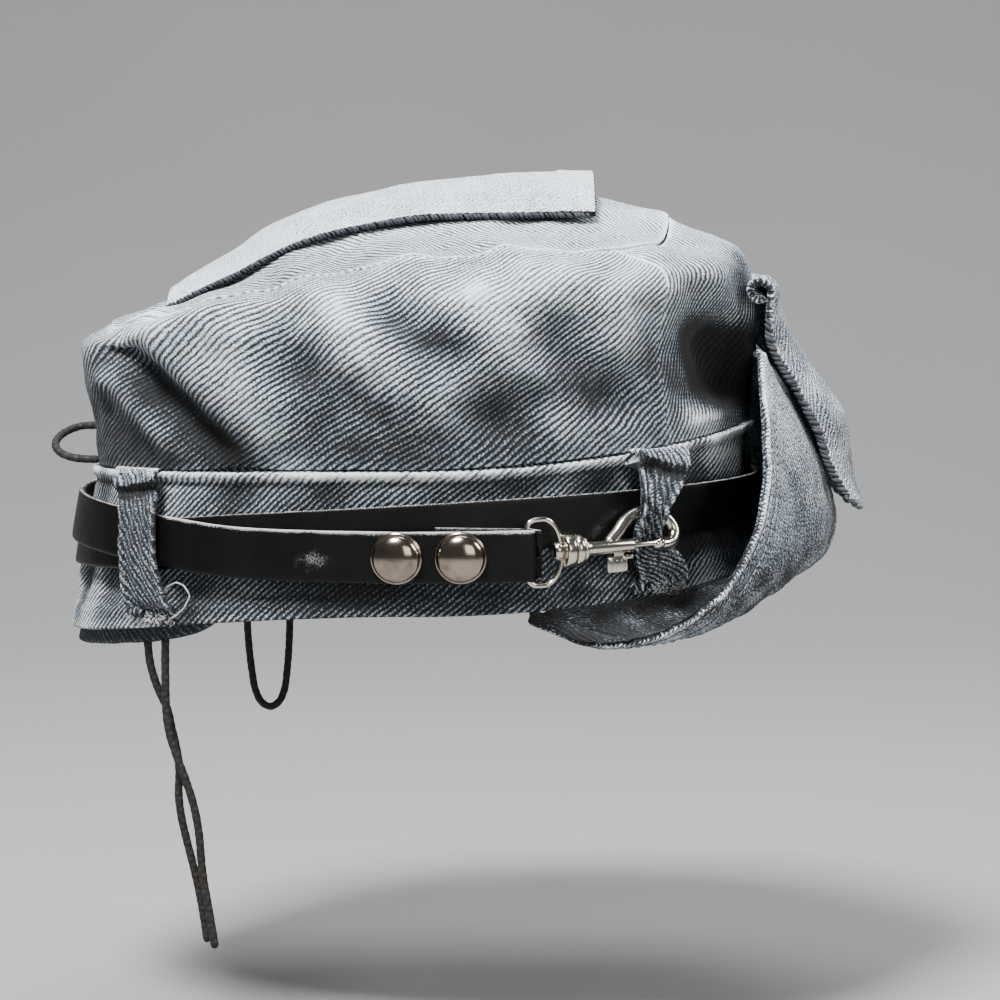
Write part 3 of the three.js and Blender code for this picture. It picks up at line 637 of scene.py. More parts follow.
@dataclass
class Skin:
    """Points, faces and vertex values on their way to a Blender mesh, in millimetres."""

    points: Points
    faces: Faces
    cloth: Points
    wear_and_light: Points
    shade: Points

    @classmethod
    def joined(cls, skins: list["Skin"]) -> "Skin":
        """Put several skins into one."""
        faces: Faces = []
        start = 0
        for skin in skins:
            faces += [tuple(i + start for i in face) for face in skin.faces]
            start += len(skin.points)
        fields = ("points", "cloth", "wear_and_light", "shade")
        points, *values = (np.concatenate([getattr(skin, name) for skin in skins]) for name in fields)
        return cls(points, faces, *values)

    @classmethod
    def bare(cls, points: Points, faces: Faces) -> "Skin":
        """A skin with no cloth values."""
        none = np.zeros(len(points))
        return cls(points, faces, points.copy(), none, none)

    def volume(self) -> float:
        """Signed volume, negative where the faces look inward."""
        rows = np.array([(f[0], f[i], f[i + 1]) for f in self.faces for i in range(1, len(f) - 1)])
        a, b, c = (self.points[rows[:, k]] for k in range(3))
        return float(np.einsum("ij,ij->i", a, np.cross(b, c)).sum() / 6)

    def build(self, name: str, finish: Finish, slot: Slot, nodes: tuple[str, ...] = (),
              body: str = CAP_BODY) -> bpy.types.Object:
        """Make the Blender object.

        Args:
            name: The piece's name.
            finish: Its finish.
            slot: The record's slot that the finish comes from; not used.
            nodes: CAD nodes that it stands for.
            body: The body that it rides on.

        Returns:
            The object.
        """
        faces = self.faces if self.volume() > 0 else [face[::-1] for face in self.faces]
        mesh = new_mesh(name, (self.points * MM).tolist(), faces)
        for title, values in (("wear_and_light", self.wear_and_light), ("shade", self.shade)):
            layer = mesh.attributes.new(title, "FLOAT", "POINT")
            layer.data.foreach_set("value", np.ascontiguousarray(values, np.float32))
        layer = mesh.attributes.new("cloth", "FLOAT_VECTOR", "POINT")
        layer.data.foreach_set("vector", (self.cloth * MM).astype(np.float32).ravel())
        mesh.materials.append(WARDROBE.dress(finish))
        mesh.validate()
        piece = new_object(name, mesh)
        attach(piece, body)
        if nodes:
            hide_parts(*nodes)
        LOG.info("%s: %d vertices, %d faces", name, len(mesh.vertices), len(faces))
        return piece


def edged(first: float, last: float, count: int, length: float, reach: float) -> Points:
    """Even values from first to last, with extra ones near both ends for a rounded edge.

    Args:
        first: The first value.
        last: The last value.
        count: How many even steps.
        length: How long the run is, in millimetres.
        reach: How far the rounding reaches, in millimetres.

    Returns:
        The values in order.
    """
    near = np.array([0.0, 0.15, 0.45, 1.0]) * reach / length
    inner = np.linspace(near[-1], 1 - near[-1], max(count, 2) + 1)
    shares = np.concatenate([near[:-1], inner, 1 - near[:-1][::-1]])
    return first + (last - first) * shares


@dataclass
class Panel:
    """A wall of cloth or leather under an outer face, with rounded edges.

    surface is the outer face, and relief adds to it along the normal. closed joins the last u to
    the first, and pole makes the last v one point. plan lays the cloth out as seen from above.
    The wear values carry real wear and painted light, and on cloth the shade values are painted
    shade: dark_edge paints it on the rim walls and dark_inside on the inner face.
    """

    surface: Sheet
    u: Points
    v: Points
    wall: float
    rounding: float = 0.6
    closed: bool = False
    pole: bool = False
    outward: float = 1.0
    relief: Relief | None = None
    worn: Relief | None = None
    shaded: Relief | None = None
    worn_edge: float = 0.8
    worn_reach: float = 0.9
    dark_edge: float = 0.35
    dark_inside: float = 0.2
    plan: bool = False

    def skin(self) -> Skin:
        """Work out the wall.

        Returns:
            The closed wall with its cloth values.
        """
        uu, vv = np.meshgrid(self.u, self.v, indexing="ij")
        face = self.surface(uu, vv)
        rise = self.relief(face, uu, vv) if self.relief else np.zeros(uu.shape)
        outer = face + self._normals(face) * rise[..., None]
        run_u, run_v = run_along(face, 0), run_along(face, 1)
        edge = run_v if self.pole else np.minimum(run_v, run_v[:, -1:] - run_v)
        if not self.closed:
            edge = np.minimum(edge, np.minimum(run_u, run_u[-1:] - run_u))
        r = min(self.rounding, self.wall / 2 - 0.02)
        tuck = r - np.sqrt(np.maximum(r**2 - np.maximum(r - edge, 0) ** 2, 0))
        normals = self._normals(outer)
        top = outer - normals * tuck[..., None]
        bottom = outer - normals * self.wall + normals * tuck[..., None]
        middle = run_u.shape[0] // 2
        centred = run_u - run_u[middle : middle + 1]
        flat = np.zeros(uu.shape)
        cloth = stack(face[..., 1], face[..., 0], flat) if self.plan else stack(centred, run_v, flat)
        wear_and_light = self.worn_edge * np.exp(-edge / self.worn_reach)
        if self.worn:
            wear_and_light = wear_and_light + self.worn(face, uu, vv)
        shade = self.shaded(face, uu, vv) if self.shaded else np.zeros(uu.shape)
        # Painted shade on the rim walls, which also dims their wear.
        side = self.dark_edge * smooth(0.3, 0.08, edge)
        return self._close(top, bottom, cloth, wear_and_light * (1 - side), shade + side)

    def _normals(self, grid: Points) -> Points:
        """Normals of a grid of the panel, which all agree at a pole."""
        normals = grid_normals(grid, self.closed) * self.outward
        if self.pole:
            normals[:, -1] = unit(normals[:, -2].mean(axis=0))
        return normals

    def _close(self, top: Points, bottom: Points, cloth: Points, wear_and_light: Points, shade: Points) -> Skin:
        """Join the outer and inner faces along the rims.

        Args:
            top: Outer points.
            bottom: Inner points.
            cloth: Cloth values of the outer points.
            wear_and_light: Wear and painted light of the outer points.
            shade: Shade of the outer points.

        Returns:
            The closed wall.
        """
        columns, rows = top.shape[:2]
        index = np.arange(columns * rows).reshape(columns, rows)
        if self.pole:
            index[:, -1] = index[0, -1]
        if self.closed:
            index = np.vstack([index, index[:1]])
        under = index + columns * rows

        def quads(a: Points, b: Points, c: Points, d: Points) -> Points:
            """Faces from four matching sets of corners."""
            return np.stack([a.ravel(), b.ravel(), c.ravel(), d.ravel()], axis=1)

        faces = [
            quads(index[:-1, :-1], index[1:, :-1], index[1:, 1:], index[:-1, 1:]),
            quads(under[:-1, :-1], under[:-1, 1:], under[1:, 1:], under[1:, :-1]),
            quads(index[1:, 0], index[:-1, 0], under[:-1, 0], under[1:, 0]),
        ]
        if not self.pole:
            faces.append(quads(index[:-1, -1], index[1:, -1], under[1:, -1], under[:-1, -1]))
        if not self.closed:
            faces.append(quads(index[0, :-1], index[0, 1:], under[0, 1:], under[0, :-1]))
            faces.append(quads(index[-1, 1:], index[-1, :-1], under[-1, :-1], under[-1, 1:]))
        table = np.concatenate(faces)
        used, packed = np.unique(table, return_inverse=True)
        packed = packed.reshape(table.shape)
        listed = [tuple(dict.fromkeys(row)) for row in packed.tolist()]
        both = np.concatenate([top.reshape(-1, 3), bottom.reshape(-1, 3)])[used]
        # The inner face keeps less wear and takes the painted shade of dark_inside.
        pairs = ((cloth, cloth), (wear_and_light, wear_and_light * 0.3), (shade, shade + self.dark_inside))
        twice = [np.concatenate([a.reshape(-1, *a.shape[2:]), b.reshape(-1, *a.shape[2:])])[used]
                 for a, b in pairs]
        return Skin(both, [f for f in listed if len(f) > 2], *twice)

    def sew(self, name: str, finish: Denim) -> bpy.types.Object:
        """Build the cloth piece that stands for one CAD node."""
        return self.skin().build(f"{name}_cloth", finish, Slot.DENIM, (name,))


def tube_faces(rings: int, sides: int, closed: bool = False) -> Faces:
    """Faces between neighbouring rings of points.

    Args:
        rings: How many rings.
        sides: Points of each ring.
        closed: Whether the last ring joins the first.

    Returns:
        The faces, each with four corners.
    """
    index = np.arange(rings * sides).reshape(rings, sides)
    if closed:
        index = np.vstack([index, index[:1]])
    wrapped = np.hstack([index, index[:, :1]])
    corners = [wrapped[:-1, :-1], wrapped[:-1, 1:], wrapped[1:, 1:], wrapped[1:, :-1]]
    return [tuple(face) for face in np.stack(corners, axis=-1).reshape(-1, 4).tolist()]


def tube_skin(path: Points, radius: Points | float, sides: int) -> Skin:
    """A round tube along a line of points, with its ends rounded off.

    Args:
        path: Points of its middle.
        radius: Its radius, or one for each point.
        sides: Sides round it.

    Returns:
        The closed tube. Its cloth values are the run, the turn and 0.
    """
    count = len(path)
    radii = np.broadcast_to(np.asarray(radius, float), (count,)).copy()
    tangents = unit(np.gradient(path, axis=0))
    side = np.zeros((count, 3))
    helper = np.array([0, 0, 1.0]) if abs(tangents[0, 2]) < 0.8 else np.array([1.0, 0, 0])
    side[0] = unit(np.cross(tangents[0], helper))
    for i in range(1, count):
        side[i] = unit(side[i - 1] - tangents[i] * side[i - 1].dot(tangents[i]))
    other = np.cross(tangents, side)
    run = run_along(path)
    first, last = tangents[0] * radii[0], tangents[-1] * radii[-1]
    path = np.vstack([path[0] - first * 0.9, path[0] - first * 0.6, path,
                      path[-1] + last * 0.6, path[-1] + last * 0.9])
    tapers = np.array([0.35, 0.8])
    radii = np.concatenate([tapers * radii[0], radii, tapers[::-1] * radii[-1]])
    side = np.vstack([side[0], side[0], side, side[-1], side[-1]])
    other = np.vstack([other[0], other[0], other, other[-1], other[-1]])
    run = np.concatenate([[run[0]] * 2, run, [run[-1]] * 2])
    turns = circle(sides)
    ring = side[:, None] * np.cos(turns)[None, :, None] + other[:, None] * np.sin(turns)[None, :, None]
    points = path[:, None] + ring * radii[:, None, None]
    total = len(path) * sides
    ends = [tuple(range(sides))[::-1], tuple(range(total - sides, total))]
    cloth = stack(run[:, None], (turns / (2 * np.pi) / MM)[None, :], 0.0 * run[:, None])
    none = np.zeros(total)
    faces = tube_faces(len(path), sides) + ends
    return Skin(points.reshape(-1, 3), faces, cloth.reshape(-1, 3), none, none)


@dataclass(frozen=True)
class Stitches:
    """A row of raised stitches on a line. lean is how far their ends lie beside it."""

    length: float
    pitch: float
    radius: float
    lean: float = 0.0
    uneven: float = 0.15

    def along(self, line: Points, normals: Points) -> list[Skin]:
        """Lay the stitches.

        Args:
            line: Points on the cloth's face, close together.
            normals: The face's normals there.

        Returns:
            One small arched skin for each stitch.
        """
        run = run_along(line)
        arch = np.array([-0.25, 0.1, 0.18, 0.1, -0.25])[:, None]
        swelling = np.array([0.7, 1, 1.08, 1, 0.7])
        count = len(arch)
        made = []
        dice = np.random.default_rng(len(line))
        for start in np.arange(0.6, run[-1] - self.length, self.pitch):
            places = np.linspace(start, start + self.length, count) + dice.uniform(-0.5, 0.5) * self.uneven
            point = np.stack([np.interp(places, run, line[:, k]) for k in range(3)], axis=1)
            normal = unit(np.stack([np.interp(places, run, normals[:, k]) for k in range(3)], axis=1))
            aside = unit(np.cross(normal, point[-1] - point[0])) * np.linspace(-1, 1, count)[:, None]
            radii = self.radius * swelling * (1 + dice.uniform(-0.5, 0.5) * self.uneven)
            made.append(tube_skin(point + normal * arch + aside * self.lean, radii, 6))
        return made


# Forms shared by the pieces.


@dataclass(frozen=True)
class Around:
    """A size at the front, side and back of the cap, blended in between."""

    front: float
    side: float
    back: float

    def at(self, angle: Points) -> Points:
        """The size in a direction round the cap."""
        c = np.cos(np.radians(angle))
        front, back = np.maximum(c, 0) ** 2, np.maximum(-c, 0) ** 2
        return self.front * front + self.side * (1 - c * c) + self.back * back


@dataclass(frozen=True)
class BandForm:
    """The leaning oval that the band, strap and loops follow."""

    half_length: float = 101.0
    half_width: float = 81.0
    rim: Around = Around(12, 4.5, -6.5)
    top: Around = Around(54, 44, 40.5)
    lean_front: float = 0.05
    lean_side: float = 0.02
    lean_back: float = 0.17

    def normal(self, angle: Points, z: Points) -> Points:
        """The outward direction of the oval."""
        length, width = self._halves(angle, z)
        a = np.radians(angle)
        return unit(stack(-np.sin(a) / width, -np.cos(a) / length, 0.0 * length))

    def _halves(self, angle: Points, z: Points) -> tuple[Points, Points]:
        """Half length and half width at a height."""
        height = np.asarray(z, float) - self.rim.back
        lean = np.where(np.cos(np.radians(angle)) > 0, self.lean_front, self.lean_back)
        return self.half_length - lean * height, self.half_width - self.lean_side * height

    def point(self, angle: Points, z: Points, out: Points | float = 0.0) -> Points:
        """A point of the oval.

        Args:
            angle: Direction round the cap.
            z: Height.
            out: Stand-off.

        Returns:
            The point.
        """
        length, width = self._halves(angle, z)
        a = np.radians(angle)
        place = stack(-width * np.sin(a), -length * np.cos(a), np.asarray(z, float) + 0 * length)
        return place + self.normal(angle, z) * np.asarray(out, float)[..., None]

    def share_point(self, angle: Points, share: Points, out: Points | float = 0.0) -> Points:
        """A point at a share of the band's height."""
        rim = self.rim.at(angle)
        return self.point(angle, rim + (self.top.at(angle) - rim) * share, out)


BAND = BandForm()
FOLD_COLUMNS = ("y0", "z0", "y1", "z1", "width", "height")


@dataclass(frozen=True)
class CrownForm:
    """The crown's surface: level 0 at the band, 1 at the top seam, 2 at the centre.

    folds and creases raise the cloth; the shadow rows paint shade and the lit rows paint highlights.
    """

    levels: Table = Table(
        ("level", "front_y", "front_z", "side_x", "side_z", "back_y", "back_z"),
        (
            (0.0, 97.8, 54.3, 80, 44.3, 92.9, 40.8),
            (0.2, 97.8, 66, 84, 56, 94.2, 50),
            (0.4, 97.7, 78, 86, 69, 96, 60),
            (0.6, 97.4, 91, 84, 82, 97.4, 69),
            (0.8, 92.5, 103.5, 76, 93.5, 96.4, 76.5),
            (1.0, 74, 112, 61, 102, 89, 82),
        ),
    )
    profile: Table = Table(
        ("y", "z"),
        (
            (-78, 111), (-66, 116), (-52, 119), (-36, 119.6), (-17, 119.3), (2, 118), (17, 115.8),
            (30, 112), (43, 106), (53, 99.8), (62, 94.5), (71, 89), (90, 81.7),
        ),
    )
    folds: Table = Table(
        FOLD_COLUMNS,
        (
            (84, 75, 45, 42, 6.8, -6.8), (84, 67, 62, 48, 5.5, 2.6), (72, 75, 46, 50, 6, 1.4),
            (32, 76, 24, 62, 11, -3.2), (6, 90, -4, 80, 11, -3), (-14, 72, -30, 54, 11, -3),
            (-40, 78, -52, 62, 11, -3.2), (14, 70, 2, 56, 11, 1.8), (-66, 92, -72, 74, 8, -2.6),
            (-84, 79, -88, 66, 11, -8), (-78, 57, -92, 60, 6, 1.5),
        ),
    )
    creases: Table = Table(
        FOLD_COLUMNS,
        (
            (78, 70, 52, 48, 4, -1.2), (90, 72, 72, 56, 4.5, 1), (94, 84, 72, 86, 6, 1.6),
            (5, 91, -13, 79, 6, -2.4), (27, 72, 8, 59, 6, -2.2), (-40, 81, -56, 65, 6.5, -2.6),
            (-31, 63, -16, 51, 6.5, -2.2), (40, 86, 31, 72, 6, -2.0), (-12, 68, -20, 74, 6, 1.5),
            (18, 84, 8, 76, 6, 1.4), (-30, 84, -42, 96, 6, 1.3), (44, 66, 34, 54, 6, 1.3),
            (-18, 104, -27, 98, 4.5, -1.8), (-26, 103, -31, 99, 3.5, 1.0), (-8, 103, -14, 97, 4.5, -1.3),
            (-46, 105, -54, 99, 5, -1.6), (20, 100, 14, 92, 5, -1.5), (40, 96, 33, 88, 5, -1.5),
            (-2, 60, -12, 48, 4, -0.8), (-36, 62, -48, 50, 5, -1.3), (24, 54, 14, 46, 4, -1.2),
            (88, 60, 78, 48, 5, -1.6), (-62, 66, -70, 52, 5, -1.5), (-74, 100, -82, 92, 5, -1.0),
            (-92, 77, -95, 66, 5, -6.0), (-76, 82, -80, 70, 4.5, 1.4), (-66, 48, -90, 56, 4.5, 1.6),
            (-60, 92, -70, 100, 5, 1.0), (58, 88, 48, 80, 6, 1.2),
        ),
    )
    # Painted shade, in the hollows and on slopes turned from the light.
    shadow_rows: Table = Table(
        FOLD_COLUMNS,
        (
            (86, 72, 76, 64, 6, 0.6), (76, 65, 47, 42, 5, 1.0), (30, 71, 26, 66, 6, 0.5),
            (97, 54, 92, 42, 10, 0.8), (82, 51, 68, 44, 6, 1.0), (64, 63, 50, 50, 4, 0.35),
            (30, 52, -20, 46, 6, 0.4),
            (5, 88, -4, 80, 5.5, 0.6), (-9, 82, -14, 78, 5, 0.55), (-24, 60, -32, 52, 7, 0.65),
            (-44, 71, -52, 64, 6, 0.55), (-68, 74, -73, 68, 6, 0.6), (-88, 75, -91, 63, 5.6, 3.4),
            (-85, 80, -87, 66, 6, 0.9), (-95, 76, -96, 62, 4, 1.6), (-94, 104, -97, 90, 3.5, 1.2),
            (12, 62, 0, 56, 7, 0.4), (90, 70, 86, 60, 4, 0.5),
        ),
    )
    lit: Table = Table(
        FOLD_COLUMNS,
        (
            (52, 72, 34, 46, 6, 0.5), (87, 68, 69, 52, 4, 0.5), (20, 92, 10, 70, 6, 0.4),
            (-18, 92, -34, 74, 6, 0.45), (-8, 62, -18, 46, 5, 0.4), (-40, 56, -60, 50, 5, 0.5),
            (-60, 84, -66, 60, 5, 0.4), (-80, 56, -98, 59, 3.5, 1.0), (86, 83, 72, 85, 6, 0.5),
            (40, 88, -60, 100, 6, 0.3),
        ),
    )
    top_fall: float = 20.4
    top_fall_length: float = 38.0
    ridge_round: float = 6.0
    squareness: float = 2.5
    centre_y: float = -5.0

    def top_height(self, x: Points, y: Points) -> Points:
        """Height of the top panel."""
        eased = np.sqrt(x * x + self.ridge_round**2) - self.ridge_round
        fall = self.top_fall * (1 - np.exp(-eased / self.top_fall_length))
        return self.profile.at("z", y) - fall * (1 - 0.75 * smooth(20, 89, y))

    def ring(self, angle: Points, level: Points) -> Points:
        """A point of the ring at a level, before it meets the top."""
        a = np.radians(angle)
        c, s = np.cos(a), np.sin(a)
        row = self.levels.row(level)
        power = 2 / (2 + (self.squareness - 2) * smooth(0.5, 1, level))
        x = -row["side_x"] * squared(s, power)
        y = -np.where(c > 0, row["front_y"], row["back_y"]) * squared(c, power)
        z = Around(row["front_z"], row["side_z"], row["back_z"]).at(angle)
        return stack(x, y, z)

    def surface(self, angle: Points, level: Points) -> Points:
        """The crown without its folds."""
        seam = self.ring(angle, np.ones_like(level))
        inward = np.clip(level - 1, 0, 1)
        x = seam[..., 0] * (1 - inward)
        y = self.centre_y + (seam[..., 1] - self.centre_y) * (1 - inward)
        top = stack(x, y, self.top_height(x, y))
        low = self.ring(angle, np.clip(level, 0, 1))
        at_seam = self.top_height(seam[..., 0], seam[..., 1]) - seam[..., 2]
        low[..., 2] += at_seam * np.clip(level, 0, 1) ** 3
        return np.where((level > 1)[..., None], top, low)

    @staticmethod
    def fold_height(table: Table, place: Points, near: float = 12, far: float = 34) -> Points:
        """Height of a table's folds at a place, on both sides of the cap.

        Args:
            table: The folds: a line from one place to another, its half-width and its height.
            place: Points of the surface.
            near: Distance from the middle of the cap up to which they are absent.
            far: Distance from which they are full.

        Returns:
            The height at each point.
        """
        total = np.zeros(place.shape[:-1])
        for y0, z0, y1, z1, width, rise in table.rows:
            run = np.array([y1 - y0, z1 - z0])
            off = place[..., 1:] - np.array([y0, z0])
            t = np.clip(off @ run / (run @ run), 0, 1)
            gap = off - t[..., None] * run
            total += rise * np.exp(-(gap**2).sum(axis=-1) / width**2)
        return total * smooth(near, far, np.abs(place[..., 0]))


CROWN = CrownForm()


# Studio.


def turn_to(place: Vector, target: Vector) -> Euler:
    """The turn of a camera or a light that looks from its place at the target."""
    return (target - place).to_track_quat("-Z", "Y").to_euler()


@dataclass(frozen=True)
class Lamp:
    """One soft square light: its place and side in metres, its power in watts and its colour."""

    name: str
    place: Place
    side: float
    power: float
    tint: Colour = Colour(255, 255, 255)
    target: Place = (0.0, -0.01, 0.05)

    def build(self) -> None:
        """Add the light, turned to the cap."""
        data = bpy.data.lights.new(self.name, "AREA")
        data.shape = "RECTANGLE"
        data.size, data.size_y = self.side, self.side
        data.energy = self.power
        data.color = self.tint.linear()[:3]
        lamp = new_object(self.name, data)
        lamp.location = self.place
        lamp.rotation_euler = turn_to(Vector(self.place), Vector(self.target))


@dataclass(frozen=True)
class Studio:
    """Camera, lights and floor. The camera looks at the wearer's right side, slightly from above."""

    elevation: float = 5.0
    distance: float = 1.0
    target: Place = (0.0, -0.0247, 0.0294)
    focal_pixels: float = 3401.0
    frame_pixels: float = 1000.0
    sensor: float = 36.0
    floor_height: float = -0.118
    floor_reach: float = 3.0
    sweep_start: float = 0.8
    sweep_radius: float = 1.2
    sky: Colour = Colour(206, 208, 212)
    sky_strength: float = 0.16
    lamps: tuple[Lamp, ...] = (
        Lamp("key_light", (-0.62, 0.32, 1.25), side=0.36, power=54.0),
        Lamp("sky_light", (0.3, 0.0, 1.5), side=0.8, power=21.0, tint=Colour(240, 246, 255)),
        Lamp("side_light", (-1.4, -0.6, 0.6), side=0.7, power=6.0, tint=Colour(255, 250, 242)),
        Lamp("rim_light", (-0.2, -1.3, 0.9), side=0.5, power=14.0),
    )

    def camera(self) -> None:
        """Place the camera at the photograph's angle."""
        data = bpy.data.cameras.new("camera")
        data.sensor_width = self.sensor
        data.lens = self.sensor * self.focal_pixels / self.frame_pixels
        data.clip_start = 0.05
        camera = new_object("camera", data)
        e = np.radians(self.elevation)
        target = Vector(self.target)
        place = target + Vector((-np.cos(e), 0, np.sin(e))) * self.distance
        camera.location = place
        camera.rotation_euler = turn_to(place, target)
        bpy.context.scene.camera = camera

    def floor(self) -> None:
        """Make the pale floor, which sweeps up into a wall on the far side of the camera."""
        s = Shader("pale_floor")
        cloud = s.noise(s.place(), 3.0, 2.0)
        colour = s.mix(cloud, Colour(150, 149, 148), Colour(158, 157, 156))
        s.finish({"Base Color": colour, "Roughness": 0.9}, cloud, depth=0.0001, strength=0.1)
        z, reach = self.floor_height, self.floor_reach
        start, radius = self.sweep_start, self.sweep_radius
        turns = np.linspace(0.1, np.pi / 2, 14)
        sweep = [(start + radius * np.sin(t), z + radius * (1 - np.cos(t))) for t in turns]
        rows = [(-reach, z), (start, z), *sweep, (start + radius, z + reach)]
        points = [(x, y, height) for x, height in rows for y in (-reach, reach)]
        faces = [(2 * i, 2 * i + 1, 2 * i + 3, 2 * i + 2) for i in range(len(rows) - 1)]
        mesh = new_mesh("floor", points, faces)
        mesh.materials.append(s.material)
        floor = new_object("floor", mesh)

    def build(self) -> None:
        """Set up the camera, the world, the lamps and the floor."""
        self.camera()
        world = bpy.data.worlds.new("studio")
        bpy.context.scene.world = world
        world.use_nodes = True
        background = world.node_tree.nodes["Background"]
        background.inputs["Color"].default_value = self.sky.linear()
        background.inputs["Strength"].default_value = self.sky_strength
        for lamp in self.lamps:
            lamp.build()
        self.floor()


# Pieces.


@dataclass(frozen=True)
class Drawcord:
    """Four stretches of the drawcord: two free ends, a loop at the back and one on the far side."""

    radius: float = 1.15
    sides: int = 12
    guide_points: int = 40
    ring_step: float = 0.45
    tail_a: Route = (
        (-50.3, 74, -6.1), (-50.2, 73.4, -12), (-50, 71.4, -19), (-49.6, 68.8, -25),
        (-50, 67.4, -31), (-50.6, 66, -37), (-51, 65.4, -43), (-51.2, 65.6, -49), (-51, 65, -55),
        (-50.6, 63.8, -61), (-50.2, 62.4, -67), (-50, 61, -73), (-50, 59.8, -79),
        (-50.2, 58.8, -85), (-50.3, 58, -90.5),
    )
    tail_b: Route = (
        (-54.9, 68.6, -5.1), (-54.8, 68.7, -11), (-54.6, 68.7, -18.5), (-54.2, 68.6, -25),
        (-54.4, 67.8, -31), (-54.6, 66, -37), (-54.8, 63.8, -43), (-54.8, 61.8, -49),
        (-54.6, 60.4, -55), (-54.2, 59.6, -61), (-53.8, 59.2, -67), (-53.6, 58.6, -73),
        (-53.6, 57.6, -79), (-53.6, 56.6, -85), (-53.7, 55.6, -91.5),
    )
    back_loop: Route = (
        (-12, 92.5, 42.3), (-12.4, 96.6, 42.5), (-12.2, 99.4, 42.9), (-10.8, 102, 43.6),
        (-7.6, 104.2, 44.7), (-3, 105.4, 46), (2.2, 105.4, 47.4), (7, 104, 48.8),
        (10.4, 101.6, 49.9), (11.9, 99, 50.5), (12.1, 96.6, 50.6), (12, 93.9, 50.6),
    )
    side_loop: Route = (
        (64.6, 54.4, 0.6), (64.2, 54.6, -4), (63.6, 54.7, -10), (62.8, 54.4, -17), (62, 53.8, -24),
        (61.2, 53, -30), (60.6, 52, -35.4), (60.3, 50, -39.4), (60.2, 47.3, -40.8),
        (60.4, 44.7, -39.4), (60.8, 42.9, -35.6), (61.6, 42, -29), (62.8, 41.5, -22),
        (64.2, 41.3, -15), (65.8, 41.3, -8), (67.4, 41.4, -2), (68.5, 41.5, 2.4),
    )

    def strand(self, name: str, route: Route) -> None:
        """Make one stretch of cord.

        Args:
            name: Name of the CAD node that it stands for.
            route: The points that it follows.
        """
        rough = smooth_path(route, self.guide_points)
        length = float(np.linalg.norm(np.diff(rough, axis=0), axis=1).sum())
        path = smooth_path(route, int(length / self.ring_step))
        run = np.linspace(0, length, len(path))
        thick = self.radius * (1 + 0.035 * np.sin(run * 2.6) + 0.02 * np.sin(run * 1.1 + 2))
        skin = tube_skin(path, thick, self.sides)
        cord = skin.build(f"{name}_cord", WaxedCord(), Slot.CORD, (name,))

    def build(self) -> None:
        """Make the four stretches."""
        self.strand("cord_tail_a", self.tail_a)
        self.strand("cord_tail_b", self.tail_b)
        self.strand("cord_back_loop", self.back_loop)
        self.strand("cord_side_loop", self.side_loop)


